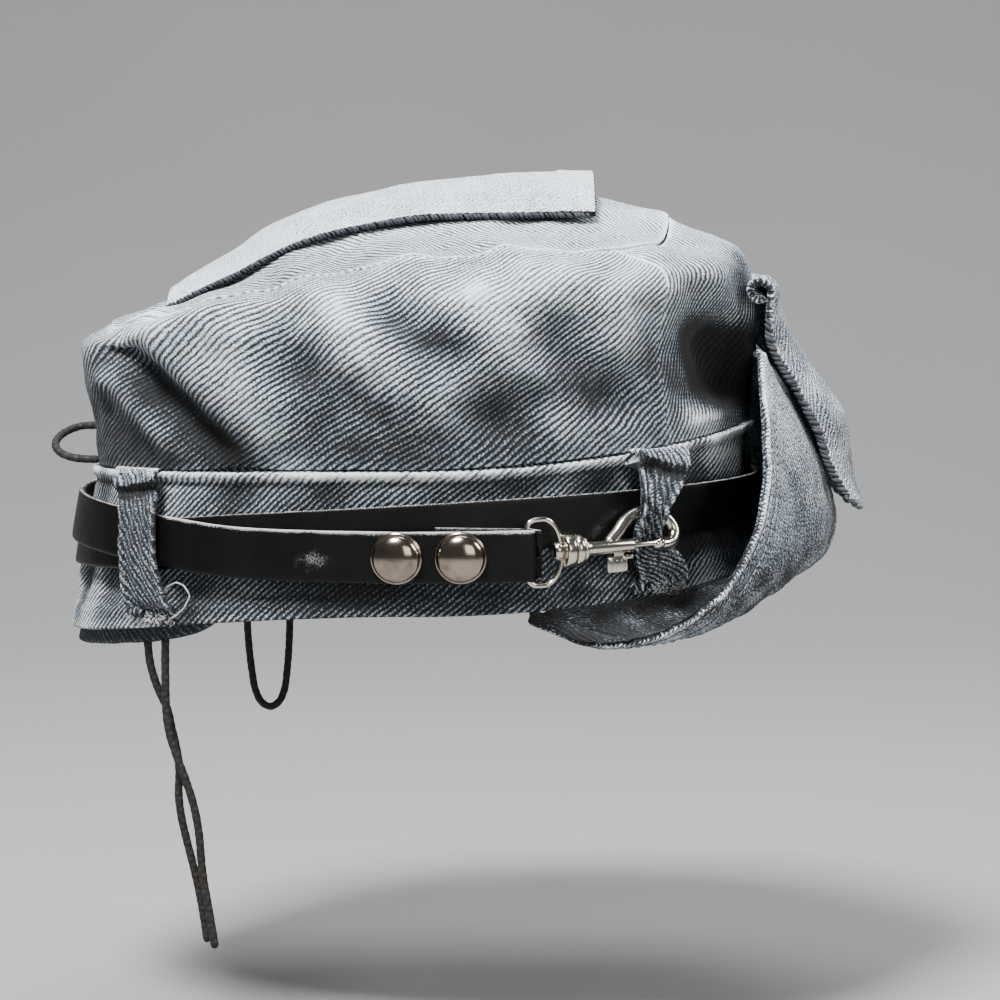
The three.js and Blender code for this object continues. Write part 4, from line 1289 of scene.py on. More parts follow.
@dataclass(frozen=True)
class Crown:
    """Four sewn panels with folded seams."""

    wall: float = 1.8
    seam_angle: float = 43.12
    front_edge: float = 42.88
    back_edge: float = 179.88
    lip: float = 0.28
    degree_length: float = 1.7

    def relief(self, face: Points, angle: Points, level: Points) -> Points:
        """Folds, creases, small wrinkles and a bulge in the middle of the front."""
        share = 0.3 + 0.7 * smooth(0, 0.2, level)
        big = CROWN.fold_height(CROWN.folds, face) + CROWN.fold_height(CROWN.creases, face)
        small = 0.9 * ripple(face, 30, 5) + 0.34 * ripple(face, 11, 8)
        chin = 2.3 * bell(face[..., 2] - 83, 12) * smooth(34, 18, np.abs(face[..., 0]))
        chin = chin * smooth(-60, -90, face[..., 1])
        return big * share + small * smooth(0, 0.15, level) + chin - 0.35

    def seam_lip(self, face: Points, angle: Points, level: Points) -> Points:
        """The relief, raised along the front seam and sunk a little at the top one."""
        turned = from_front(angle)
        beside = np.abs(turned - self.seam_angle) * self.degree_length
        raised = smooth(3.4, 2.6, beside) * (turned > self.seam_angle - 0.1)
        below = smooth(0.965, 0.99, level) * 0.3
        return self.relief(face, angle, level) + self.lip * raised - below

    def top_relief(self, face: Points, angle: Points, level: Points) -> Points:
        """The relief of the top panel, with its folded edge."""
        folds = self.relief(face, angle, level) * smooth(1.9, 1.5, level)
        return folds + self.lip * smooth(1.06, 1.04, level)

    @staticmethod
    def worn(face: Points, angle: Points, level: Points) -> Points:
        """Painted light high on the crown, on raised folds and along the lit rows; random paler patches.
        """
        high = smooth(45, 118, face[..., 2])
        creases = CROWN.fold_height(CROWN.creases, face) + 0.3 * CROWN.fold_height(CROWN.folds, face)
        lit = CROWN.fold_height(CROWN.lit, face, near=4, far=20)
        peak = 0.4 * smooth(98, 114, face[..., 2])
        return 0.5 * high + peak + 0.1 * ripple(face, 40, 21) + 0.13 * np.clip(creases, 0, 3) + lit

    @staticmethod
    def shaded(face: Points, angle: Points, level: Points) -> Points:
        """Painted shade low on the front, low on the crown, in the deep folds and along the shadow rows.
        """
        front = smooth(90, 40, from_front(angle)) * smooth(100, 50, face[..., 2])
        low = smooth(70, 44, face[..., 2])
        creases = CROWN.fold_height(CROWN.creases, face) + 0.4 * CROWN.fold_height(CROWN.folds, face)
        deep = np.clip(-creases, 0, 6) * 0.1 + CROWN.fold_height(CROWN.shadow_rows, face, near=4, far=20)
        return np.clip(0.1 * front + 0.2 * low + deep, 0, 2.4)

    def build(self) -> None:
        """Make the panels. The top one runs all round and closes at the centre."""
        levels = edged(0.0, 0.998, count=74, length=66, reach=0.5)
        side = edged(self.seam_angle, self.back_edge, count=230, length=250, reach=0.5)
        front = edged(-self.front_edge, self.front_edge, count=120, length=150, reach=0.5)
        top_levels = 1.004 + 0.996 * np.concatenate([[0, 0.0015, 0.004], np.linspace(0.009, 1, 58)])
        rounds = np.linspace(0, 360, 620, endpoint=False)
        parts = (
            ("crown_front", front, levels, self.seam_lip, -1.0, 120.0),
            ("crown_side_right", side, levels, self.seam_lip, -1.0, 147.0),
            ("crown_side_left", 360 - side, levels, self.seam_lip, 1.0, 147.0),
            ("crown_top", rounds, top_levels, self.top_relief, -1.0, 50.0),
        )
        for name, angles, heights, relief, outward, slant in parts:
            top = name == "crown_top"
            panel = Panel(CROWN.surface, angles, heights, self.wall, rounding=0.3, closed=top,
                          pole=top, outward=outward, relief=relief, worn=self.worn,
                          shaded=self.shaded, worn_edge=0.72, dark_edge=0.0, plan=top)
            panel.sew(name, Denim(f"denim_{name}", slant=slant))


@dataclass(frozen=True)
class Headband:
    """The cloth band with its raised top welt, and the casing of the drawcord inside it."""

    wall: float = 2.2
    welt_rise: float = 1.15
    welt_start: float = 0.939
    casing_angle: float = 57.0
    casing_wall: float = 2.2
    casing_drop: float = 4.2
    casing_height: float = 17.0

    @staticmethod
    def folds(face: Points) -> Points:
        """Upright waves of the band, about -1 to 1."""
        return ripple(face * np.array([1, 1, 0.35]), 19, 12)

    def relief(self, face: Points, angle: Points, share: Points) -> Points:
        """The welt, and soft waves that only go inward."""
        start = self.welt_start + 0.008 * ripple(face, 14, 30)
        welt = self.welt_rise * smooth(start, start + 0.012, share) * (1 + 0.2 * ripple(face, 6, 31))
        folds = 0.5 + 0.5 * self.folds(face)
        waves = -1.9 * folds * smooth(0.945, 0.825, share) * smooth(0.1, 0.3, share)
        under = -0.35 * smooth(self.welt_start, 0.924, share) * smooth(0.865, 0.905, share)
        small = -0.2 * (0.5 + 0.5 * ripple(face, 9, 13))
        hem = 0.15 * smooth(0.16, 0.13, share) - 0.35 * bell(share - 0.17, 0.02)
        return np.minimum(welt + waves + under + small + hem, self.welt_rise)

    def worn(self, face: Points, angle: Points, share: Points) -> Points:
        """Pale welt and rim, painted light and shade on the waves, painted light at the back and front."""
        welt = (0.98 + 0.3 * ripple(face, 12, 4)) * smooth(0.932, 0.946, share)
        dips = 0.35 * self.folds(face) * smooth(0.945, 0.885, share)
        back = smooth(60, 80, face[..., 1]) * smooth(0.4, 0.25, share)
        rim = 0.3 * smooth(0.09, 0.03, share)
        front = 0.5 * smooth(-62, -80, face[..., 1]) * smooth(0.936, 0.925, share)
        front = front * np.maximum(smooth(0.76, 0.84, share), smooth(0.3, 0.15, share))
        return welt - 0.05 - dips + 0.45 * back + rim + front

    def shaded(self, face: Points, angle: Points, share: Points) -> Points:
        """Painted shade in the waves, just under the welt, low on the band, along the sides and behind the
        strap at the front.
        """
        folds = np.clip(self.folds(face), 0, 1)
        under = smooth(self.welt_start, 0.929, share) * smooth(0.885, 0.925, share)
        low = smooth(0.42, 0.3, share) * smooth(78, 58, face[..., 1])
        front = smooth(-40, -75, face[..., 1]) * smooth(0.76, 0.66, share) * smooth(0.15, 0.3, share)
        side = smooth(0.95, 0.8, share) * smooth(80, 60, face[..., 1]) * smooth(-80, -62, face[..., 1])
        return 0.35 * under + 0.45 * folds + 0.4 * side + 0.35 * low + 0.9 * front

    def casing_face(self, angle: Points, share: Points) -> Points:
        """Outer face of the casing, round at its two ends."""
        reach = np.clip(np.abs((angle - 180) / self.casing_angle), 0, 1)
        rounding = np.sqrt(1 - 0.98 * reach**12)
        middle = BAND.rim.at(angle) - self.casing_drop + self.casing_height / 2
        z = middle + self.casing_height * (share - 0.5) * rounding
        return BAND.point(angle, z, -self.wall - GAP)

    @staticmethod
    def casing_relief(face: Points, angle: Points, share: Points) -> Points:
        """Slight waves of the casing, which only go inward."""
        return -0.25 * (0.5 + 0.5 * ripple(face, 8, 17))

    def build(self) -> None:
        """Make the band and the casing."""
        angles = np.linspace(0, 360, 540, endpoint=False)
        shares = edged(0, 1, count=46, length=42, reach=0.7)
        band = Panel(BAND.share_point, angles, shares, self.wall, rounding=0.7, closed=True,
                     outward=-1.0, relief=self.relief, worn=self.worn, shaded=self.shaded,
                     worn_edge=0.5)
        band.sew("headband", Denim("denim_band", slant=137.0))
        angles = edged(180 - self.casing_angle, 180 + self.casing_angle, count=150, length=165, reach=0.6)
        shares = edged(0, 1, count=16, length=17, reach=0.6)
        casing = Panel(self.casing_face, angles, shares, self.casing_wall, outward=-1.0,
                       relief=self.casing_relief, worn_edge=0.2)
        # The casing's darker wash is painted shade, for the shadow it hangs in.
        casing.sew("cord_casing", Denim("denim_casing", slant=40.0, wash=-0.4, ribbed=0.5))


@dataclass(frozen=True)
class Visor:
    """The cloth visor, turned up against the front, with two rows of stitching along its edge."""

    wall: float = 2.5
    side: float = -1.0
    rows: tuple[float, float] = (2.4, 7.0)
    root_out: float = -1.1
    root_drop: float = 1.45
    side_drop: float = 0.1
    last_angle: float = 71.0
    sections: Table = Table(
        ("angle", "bend_out", "bend_z", "edge_out", "edge_z"),
        (
            (0, 43, 8, -1.2, 73), (12, 43, 7, -0.2, 74), (20, 42, 5, 4, 72), (24, 40, 3, 7, 65),
            (28, 36, -1, 12, 52), (33, 32, -3, 18, 37), (38, 26, -7, 21, 24), (45, 18, -10, 21, 10),
            (52, 10, -8, 17, 1), (58, 6, -5, 12, -2.5), (64, 3, -1, 6, -2), (69, 0.4, 2.4, 1.9, 1),
            (72, -0.4, 4, 0, 3.4),
        ),
    )

    def middle(self, angle: Points, along: Points) -> Points:
        """Middle of the visor's wall, from its root to its free edge."""
        row = self.sections.row(np.abs(angle))
        root, bend, edge = (1 - along) ** 2, 2 * along * (1 - along), along**2
        out = root * self.root_out + bend * row["bend_out"] + edge * row["edge_out"]
        drop = self.root_drop + (self.side_drop - self.root_drop) * smooth(16, 34, np.abs(angle))
        z = root * (BAND.rim.at(angle) - drop) + bend * row["bend_z"] + edge * row["edge_z"]
        place = BAND.point(angle, 0.0 * out) + BAND.normal(angle, 0.0 * out) * out[..., None]
        return stack(place[..., 0], place[..., 1], z)

    def face(self, angle: Points, along: Points) -> Points:
        """Outer face of the visor."""
        middle = self.middle(angle, along)
        return middle + grid_normals(middle) * self.side * self.wall / 2

    @staticmethod
    def from_edge(face: Points) -> Points:
        """Distance of each point from the free edge, along its section."""
        run = run_along(face, 1)
        return run[:, -1:] - run

    def at_rows(self, away: Points, width: float) -> Points:
        """Rounded bumps of a width at the two stitch rows, by the distance from the edge."""
        return sum(bell(away - place, width) for place in self.rows)

    def relief(self, face: Points, angle: Points, along: Points) -> Points:
        """Grooves under the two stitch rows, the folded hem and small waves."""
        away = self.from_edge(face)
        roll = 0.35 * smooth(2.4, 1.2, away)
        small = 0.3 * ripple(face, 16, 41) + 0.16 * ripple(face, 4, 42)
        return -0.4 * self.at_rows(away, 0.7) + roll + small * smooth(0, 0.2, along)

    def worn(self, face: Points, angle: Points, along: Points) -> Points:
        """Pale cloth towards the free edge."""
        away = self.from_edge(face)
        high = smooth(22, 70, face[..., 2])
        patches = 0.2 * ripple(face, 22, 43) + 0.2 * ripple(face, 9, 46)
        return 0.2 * smooth(9, 3, away) + patches + 0.5 * high - 0.1

    def shaded(self, face: Points, angle: Points, along: Points) -> Points:
        """Painted shade low down, in mottled patches and in the stitched grooves."""
        away = self.from_edge(face)
        mottled = 0.15 + 0.65 * ripple(face * np.array([1, 0.5, 1]), 9, 47)
        under = mottled * smooth(26, 8, face[..., 2])
        low = 0.3 * smooth(34, 14, face[..., 2])
        patches = 0.25 * np.clip(ripple(face, 12, 44), 0, 1)
        return low + 0.5 * self.at_rows(away, 0.5) + patches + under

    def build(self) -> None:
        """Make the visor and its stitches."""
        angles = edged(-self.last_angle, self.last_angle, count=210, length=300, reach=0.9)
        along = edged(0, 1, count=64, length=95, reach=0.9)
        # dark_edge and dark_inside paint shade on the rim and the inner face.
        panel = Panel(self.face, angles, along, self.wall, rounding=1.1, outward=self.side,
                      relief=self.relief, worn=self.worn, shaded=self.shaded, worn_edge=0.75,
                      worn_reach=1.1, dark_edge=0.25, dark_inside=0.75)
        finish = Denim("denim_visor", slant=100.0, rib=0.0012, wash=0.02, ribbed=0.7, grit=3.6)
        panel.sew("visor", finish)
        grid = sheet_points(self.face, np.linspace(-60, 60, 500), np.linspace(0.2, 1, 160))
        normals = grid_normals(grid) * self.side
        away = self.from_edge(grid)
        index = np.arange(len(grid))
        stitches = Stitches(length=1.9, pitch=2.6, radius=0.23)
        made: list[Skin] = []
        for place in self.rows:
            pick = np.abs(away - place).argmin(axis=1)
            made += stitches.along(grid[index, pick], normals[index, pick])
        Skin.joined(made).build("visor_stitches", BLUE_THREAD, Slot.DENIM)


@dataclass(frozen=True)
class TopStrip:
    """The wide cloth strap along the middle of the crown, square at its front end."""

    wall: float = 2.4
    half_width: float = 26.0
    first_y: float = 71.0
    last_y: float = -52.0
    droop: float = 1.9
    sections: Table = Table(
        ("y", "middle_z", "edge_z"),
        (
            (71, 92.4, 89), (62, 97.9, 94.4), (53, 103.3, 99.2), (43, 110, 104), (28, 116.2, 109.6),
            (15, 119.7, 112.4), (2, 122.2, 113.4), (-17, 124.4, 113.8), (-38, 126, 114.2),
            (-52, 125.6, 114),
        ),
    )

    def face(self, across: Points, y: Points) -> Points:
        """Upper face of the strap."""
        middle, edge = self.sections.at("middle_z", y), self.sections.at("edge_z", y)
        droop = (self.droop + 1.3 * bell(y - 50, 12)) * smooth(-8, 20, y) * smooth(76, 66, y)
        droop = droop * smooth(0.5, 1, np.abs(across))
        z = middle + (edge - middle) * np.abs(across) ** 1.8 - droop
        return stack(across * self.half_width, y, z)

    def relief(self, face: Points, across: Points, y: Points) -> Points:
        """A stitched groove along the sides, a fold at the front end and small waves."""
        away = (1 - np.abs(across)) * self.half_width
        groove = -0.35 * bell(away - 4.6, 0.8)
        fold = 0.4 * smooth(-40.6, -41.6, y) - 0.3
        return groove + fold + 0.16 * ripple(face, 18, 51) + 0.1 * ripple(face, 7, 52)

    def worn(self, face: Points, across: Points, y: Points) -> Points:
        """Paler cloth all along the strap, more at its front fold."""
        return 0.5 + 0.2 * smooth(-40, -43, y) + 0.08 * ripple(face, 18, 53)

    def build(self) -> None:
        """Make the strap."""
        across = edged(-1, 1, count=64, length=58, reach=0.8)
        along = edged(self.first_y, self.last_y, count=140, length=130, reach=0.8)
        # dark_edge and dark_inside paint shade on the side walls and the underside.
        panel = Panel(self.face, across, along, self.wall, rounding=0.8, outward=-1.0,
                      relief=self.relief, worn=self.worn, worn_edge=0.2, dark_edge=1.2,
                      dark_inside=0.9)
        finish = Denim("denim_strip", slant=62.0, rib=0.0011, wash=0.17, ribbed=0.5, grit=2.8)
        cloth = panel.sew("top_strip", finish)
        y = np.linspace(self.first_y - 1, self.last_y + 1, 300)
        made: list[Skin] = []
        for side in (-1.0, 1.0):
            edge = self.face(np.full(y.shape, side), y) - np.array([0, 0, self.wall * 0.5])
            outward = np.repeat([[side, 0, 0.25]], len(y), axis=0)
            cords = Stitches(length=1.05, pitch=1.2, radius=0.42, lean=0.6 * side, uneven=0.6)
            made += cords.along(edge, unit(outward))
        edging = Skin.joined(made).build("top_strip_edging", DARK_THREAD, Slot.DENIM)
        grid = sheet_points(self.face, np.linspace(-1, 1, 41), y)
        flat_size(grid)


@dataclass(frozen=True)
class FrontTab:
    """The cloth tab over the turned-up visor. Its top is rolled."""

    wall: float = 2.4
    half_width: float = 25.0
    roll_radius: float = 2.9
    roll_z: float = 91.0
    roll_middle_y: float = -101.9
    roll_edge_y: float = -98.9
    roll_turn: float = 330.0
    step_turn: float = 45.0
    flat_steps: int = 8
    sections: Table = Table(
        ("step", "middle_y", "middle_z", "edge_y", "edge_z"),
        (
            (0, -131.8, 27, -126, 31.5), (1, -129.5, 33.5, -122.6, 37), (2, -127.8, 41, -119.6, 43),
            (3, -126.4, 51, -117, 51), (4, -124, 58, -114, 57), (5, -119, 64, -110.6, 63.5),
            (6, -115, 70, -106, 70.5), (7, -110.4, 78, -103, 77.6), (8, -106.6, 86, -102.6, 85),
        ),
    )

    def middle(self, across: Points, step: Points) -> Points:
        """Middle of the tab's wall."""
        bow = across * across
        row = self.sections.row(np.minimum(step, self.flat_steps))
        y = row["middle_y"] + (row["edge_y"] - row["middle_y"]) * bow + self.wall / 2
        z = row["middle_z"] + (row["edge_z"] - row["middle_z"]) * bow
        turn = np.radians(180 - (step - self.flat_steps - 0.5) * self.step_turn)
        roll_y = self.roll_middle_y + (self.roll_edge_y - self.roll_middle_y) * bow
        radius = self.roll_radius * (1 - 0.42 * smooth(self.flat_steps + 2.5, self.flat_steps + 8, step))
        roll_y = roll_y + radius * np.cos(turn)
        roll_z = self.roll_z + radius * np.sin(turn)
        rolled = smooth(self.flat_steps - 0.1, self.flat_steps + 0.6, step)
        return stack(across * self.half_width, y + (roll_y - y) * rolled, z + (roll_z - z) * rolled)

    def face(self, across: Points, step: Points) -> Points:
        """Outer face of the tab."""
        middle = self.middle(across, step)
        return middle + grid_normals(middle) * self.wall / 2

    def relief(self, face: Points, across: Points, step: Points) -> Points:
        """Stitched grooves along the sides and small waves."""
        away = (1 - np.abs(across)) * self.half_width
        groove = -0.35 * bell(away - 4.2, 0.8)
        return groove + 0.5 * ripple(face, 14, 61) + 0.2 * ripple(face, 6, 62)

    @staticmethod
    def worn(face: Points, across: Points, step: Points) -> Points:
        """Uneven wear of the whole tab."""
        return 0.16 + 0.3 * ripple(face, 12, 63)

    def build(self) -> None:
        """Make the tab."""
        last = self.flat_steps + self.roll_turn / self.step_turn
        across = edged(-1, 1, count=56, length=54, reach=0.9)
        steps = edged(0, last, count=96, length=85, reach=0.8)
        # dark_edge and dark_inside paint shade on the rims and the back face.
        panel = Panel(self.face, across, steps, self.wall, rounding=1.0, relief=self.relief,
                      worn=self.worn, worn_edge=0.5, dark_edge=0.55, dark_inside=0.7)
        finish = Denim("denim_tab", slant=52.0, rib=0.0012, wash=0.06, ribbed=0.7, grit=3.2)
        cloth = panel.sew("front_tab", finish)
        step = np.linspace(0.1, self.flat_steps - 0.2, 240)
        cords = Stitches(length=2.1, pitch=1.5, radius=0.64, lean=0.85, uneven=0.6)
        made: list[Skin] = []
        for side in (-1.0, 1.0):
            edge = sheet_points(self.middle, np.array([side * 0.98, side]), step)[1]
            outward = np.repeat([[side, 0, 0]], len(step), axis=0)
            made += cords.along(edge, outward)
        edging = Skin.joined(made).build("front_tab_edging", DARK_THREAD, Slot.DENIM)
        grid = sheet_points(self.middle, np.linspace(-1, 1, 41), np.linspace(0, last, 200))
        flat_size(grid)


@dataclass(frozen=True)
class Ribbon:
    """A strip along a route: points of its middle, the direction of its width, and its widths.

    turned is 1 or -1, for the side of the strip that its outer face is on.
    """

    points: Points
    across: Points
    widths: Points
    wall: float
    turned: float = 1.0

    def panel(self, steps: Points, width_steps: int, relief: Relief, **looks: object) -> Panel:
        """The strip as a panel over steps along the route and shares of its width.

        Args:
            steps: Places along the route, in points.
            width_steps: How many steps across.
            relief: Its relief.
            looks: Other fields of the panel.

        Returns:
            The panel. Its outer face looks away from the cap.
        """
        index = np.arange(len(self.points))
        table = np.hstack([index[:, None], self.points, self.across, self.widths[:, None]])
        names = ("i", "x", "y", "z", "ax", "ay", "az", "width")
        rows = Table(names, tuple(map(tuple, table.tolist())))

        def face(u: Points, v: Points) -> Points:
            """Outer face of the strip."""
            place = stack(*(rows.at(name, u) for name in ("x", "y", "z")))
            side = stack(*(rows.at(name, u) for name in ("ax", "ay", "az")))
            tangent = unit(np.gradient(place, axis=0))
            side = unit(side - tangent * (side * tangent).sum(axis=-1, keepdims=True))
            normal = np.cross(tangent, side)
            flat = place + side * (v * rows.at("width", u))[..., None]
            return flat + normal * self.wall / 2 * self.turned

        shares = edged(-0.5, 0.5, width_steps, length=float(self.widths.mean()), reach=0.5)
        return Panel(face, steps, shares, self.wall, relief=relief, outward=self.turned, **looks)


@dataclass(frozen=True)
class BeltLoops:
    """Four gathered cloth loops that hold the strap, with frayed lower ends.

    A route's width is a share of the field. The thread's is an angle, a height and a stand-off.
    """

    width: float = 16.0
    wall: float = 1.6
    fray_count: int = 44
    rear_angle: float = 42.0
    front_angle: float = 51.9
    plain: Table = Table(
        ("share", "out", "width", "turn"),
        (
            (0.06, 1.15, 1.1, -3), (0.12, 1.6, 1.1, -3), (0.2, 4.2, 1.05, -2.2), (0.45, 5.7, 0.92, -0.4),
            (0.72, 5.6, 0.9, 1.2), (0.84, 4, 0.98, 2.6), (0.93, 2.6, 1.08, 3.4), (1.03, 2.3, 1.08, 3.7),
        ),
    )
    left_rear: Table = Table(
        ("share", "out", "width", "turn"),
        (
            (0.04, 1.15, 1.1, -3), (0.09, 1.5, 1.1, -3), (0.17, 3.7, 1.05, -2.2), (0.45, 5.4, 0.92, -0.4),
            (0.72, 5.7, 0.9, 1.2), (0.87, 5.5, 0.96, 2.6), (0.94, 3.4, 1.08, 3.4), (1, 2.1, 1.08, 3.7),
        ),
    )
    hooked: Table = Table(
        ("share", "out", "width", "turn"),
        (
            (0.07, 1.4, 1.16, -4.2), (0.13, 2.5, 1.12, -4), (0.22, 4.2, 0.92, -2.8), (0.34, 5, 0.66, -0.8),
            (0.435, 6, 0.55, -0.2), (0.53, 7.8, 0.54, -0.2), (0.66, 9, 0.56, -0.6), (0.77, 7.6, 0.78, -2),
            (0.91, 4.2, 1.1, -3.8), (1, 2.1, 1.16, -4),
        ),
    )
    thread_points: int = 60
    thread_route: Route = (
        (135, 5, 2.4), (131.8, 10.4, 3.4), (129.2, 12.2, 3.9), (127.1, 10.6, 3.9), (126.6, 8, 3.9),
        (128.1, 4.6, 3.7), (129.8, 2.4, 3.4), (131.1, 0.7, 3.2),
    )

    def loop(self, name: str, angle: float, route: Table, backward: float, slant: float,
             wash: float) -> None:
        """Make one loop.

        Args:
            name: Name of the CAD node.
            angle: Where it is sewn.
            route: Its route up the band.
            backward: 1 where a larger angle is further back, -1 on the other side.
            slant: Slant of its twill.
            wash: How pale it is.
        """
        rows = np.array(route.rows)
        shares, outs, widths, turns = rows.T
        at = angle + turns * backward
        level = np.cross(BAND.normal(at, np.full(len(rows), 20.0)), [0, 0, 1.0])
        ribbon = Ribbon(BAND.share_point(at, shares, outs), level, widths * self.width, self.wall)
        index = np.arange(len(rows))
        hem_top, top = shares[1], shares[-1]

        def relief(face: Points, u: Points, v: Points) -> Points:
            """Gathers along the loop, thick folded sides and a doubled fold at the top."""
            narrow = np.clip(1 - np.interp(u, index, widths), 0, 1)
            share = np.interp(u, index, shares)
            gather = np.sin(v * 20 + 1.5 * np.sin(u * 1.7)) * (0.14 + 0.9 * narrow)
            side = 0.6 * smooth(0.34, 0.39, np.abs(v)) * (1 + 0.2 * np.sin(u * 30 + 3 * np.sin(u * 4)))
            fold = 2.3 * smooth(0.875, 0.9, share) * smooth(top, top - 0.02, share)
            fold = fold * (1 + 0.1 * ripple(face, 5, 73))
            hem = 0.5 * smooth(hem_top + 0.015, hem_top, share)
            return gather + side + fold + hem + 0.14 * ripple(face, 6, 71)

        def worn(face: Points, u: Points, v: Points) -> Points:
            """Pale sides and top fold."""
            share = np.interp(u, index, shares)
            side = 0.24 * smooth(0.36, 0.42, np.abs(v))
            fold, brink = 0.5 * smooth(0.89, 0.93, share), 0.4 * smooth(0.96, 0.98, share)
            return 0.12 + side + 0.1 * ripple(face, 9, 72) + fold + brink

        def shaded(face: Points, u: Points, v: Points) -> Points:
            """Painted shade just under the top fold."""
            share = np.interp(u, index, shares)
            return 1.1 * smooth(0.82, 0.86, share) * smooth(0.9, 0.88, share)

        steps = edged(0, len(rows) - 1, count=120, length=46, reach=0.5)
        panel = ribbon.panel(steps, 40, relief, worn=worn, shaded=shaded, worn_edge=0.5)
        panel.sew(name, Denim(f"denim_{name}", slant=slant, wash=wash, ribbed=0.75, grit=2.9))
        self.frays(name, ribbon, int(angle))

    def frays(self, name: str, ribbon: Ribbon, seed: int) -> None:
        """Short pale threads along a loop's lower hem.

        Args:
            name: Name of the loop.
            ribbon: The loop's route.
            seed: Seed of the threads' places.
        """
        dice = np.random.default_rng(seed)
        along, side = unit(ribbon.points[1] - ribbon.points[0]), ribbon.across[0]
        outward = np.cross(along, side)
        made = []
        for _ in range(self.fray_count):
            start = ribbon.points[0] + side * dice.uniform(-0.5, 0.5) * ribbon.widths[0]
            start = start + along * dice.uniform(-0.4, 2.6) + outward * 0.9
            drift = side * dice.normal(0, 0.9) - along * dice.uniform(0.1, 1.6)
            drift = drift + outward * dice.uniform(0, 0.5)
            bow = side * dice.normal(0, 0.5) + outward * 0.5
            path = np.array([start, start + drift * 0.5 + bow, start + drift])
            made.append(tube_skin(smooth_path(path, 9), dice.uniform(0.12, 0.22), 6))
        Skin.joined(made).build(f"{name}_frays", PALE_THREAD, Slot.DENIM)

    def loose_thread(self) -> None:
        """The long pale thread that hangs from the right rear loop's hem."""
        curve = smooth_path(BAND.point(*np.array(self.thread_route).T), self.thread_points)
        curl = np.sin(np.arange(self.thread_points)[:, None] * np.array([0.55, 0.83, 0.37]))
        thread = tube_skin(curve + 0.13 * curl, 0.24, 8)
        thread.build("belt_loop_right_rear_thread", PALE_THREAD, Slot.DENIM)

    def build(self) -> None:
        """Make the four loops."""
        self.loose_thread()
        self.loop("belt_loop_right_rear", 180 - self.rear_angle, self.plain, 1, 24.0, -0.36)
        self.loop("belt_loop_right_front", self.front_angle, self.hooked, 1, 30.0, -0.3)
        self.loop("belt_loop_left_rear", 180 + self.rear_angle, self.left_rear, -1, -24.0, -0.36)
        self.loop("belt_loop_left_front", 360 - self.front_angle, self.plain, -1, -30.0, -0.3)


@dataclass(frozen=True)
class SnapFrame:
    """The snap's own axes: +X to the hook, +Y up, +Z away from the cap. Its eye is at the origin."""

    place: Place = (-82.4, -36.5, 22.4)
    direction: Place = (0.364, -0.931, 0.04)
    eye_half_length: float = 5.2

    def axes(self) -> Points:
        """The three directions, a row each."""
        axis = unit(np.array(self.direction))
        outward = unit(np.array([axis[1], -axis[0], 0.0]))
        return np.stack([axis, np.cross(outward, axis), outward])

    def world(self, points: Points) -> Points:
        """Points of the snap in the cap's frame."""
        return np.asarray(points, float) @ self.axes() + np.array(self.place)


SNAP = SnapFrame()


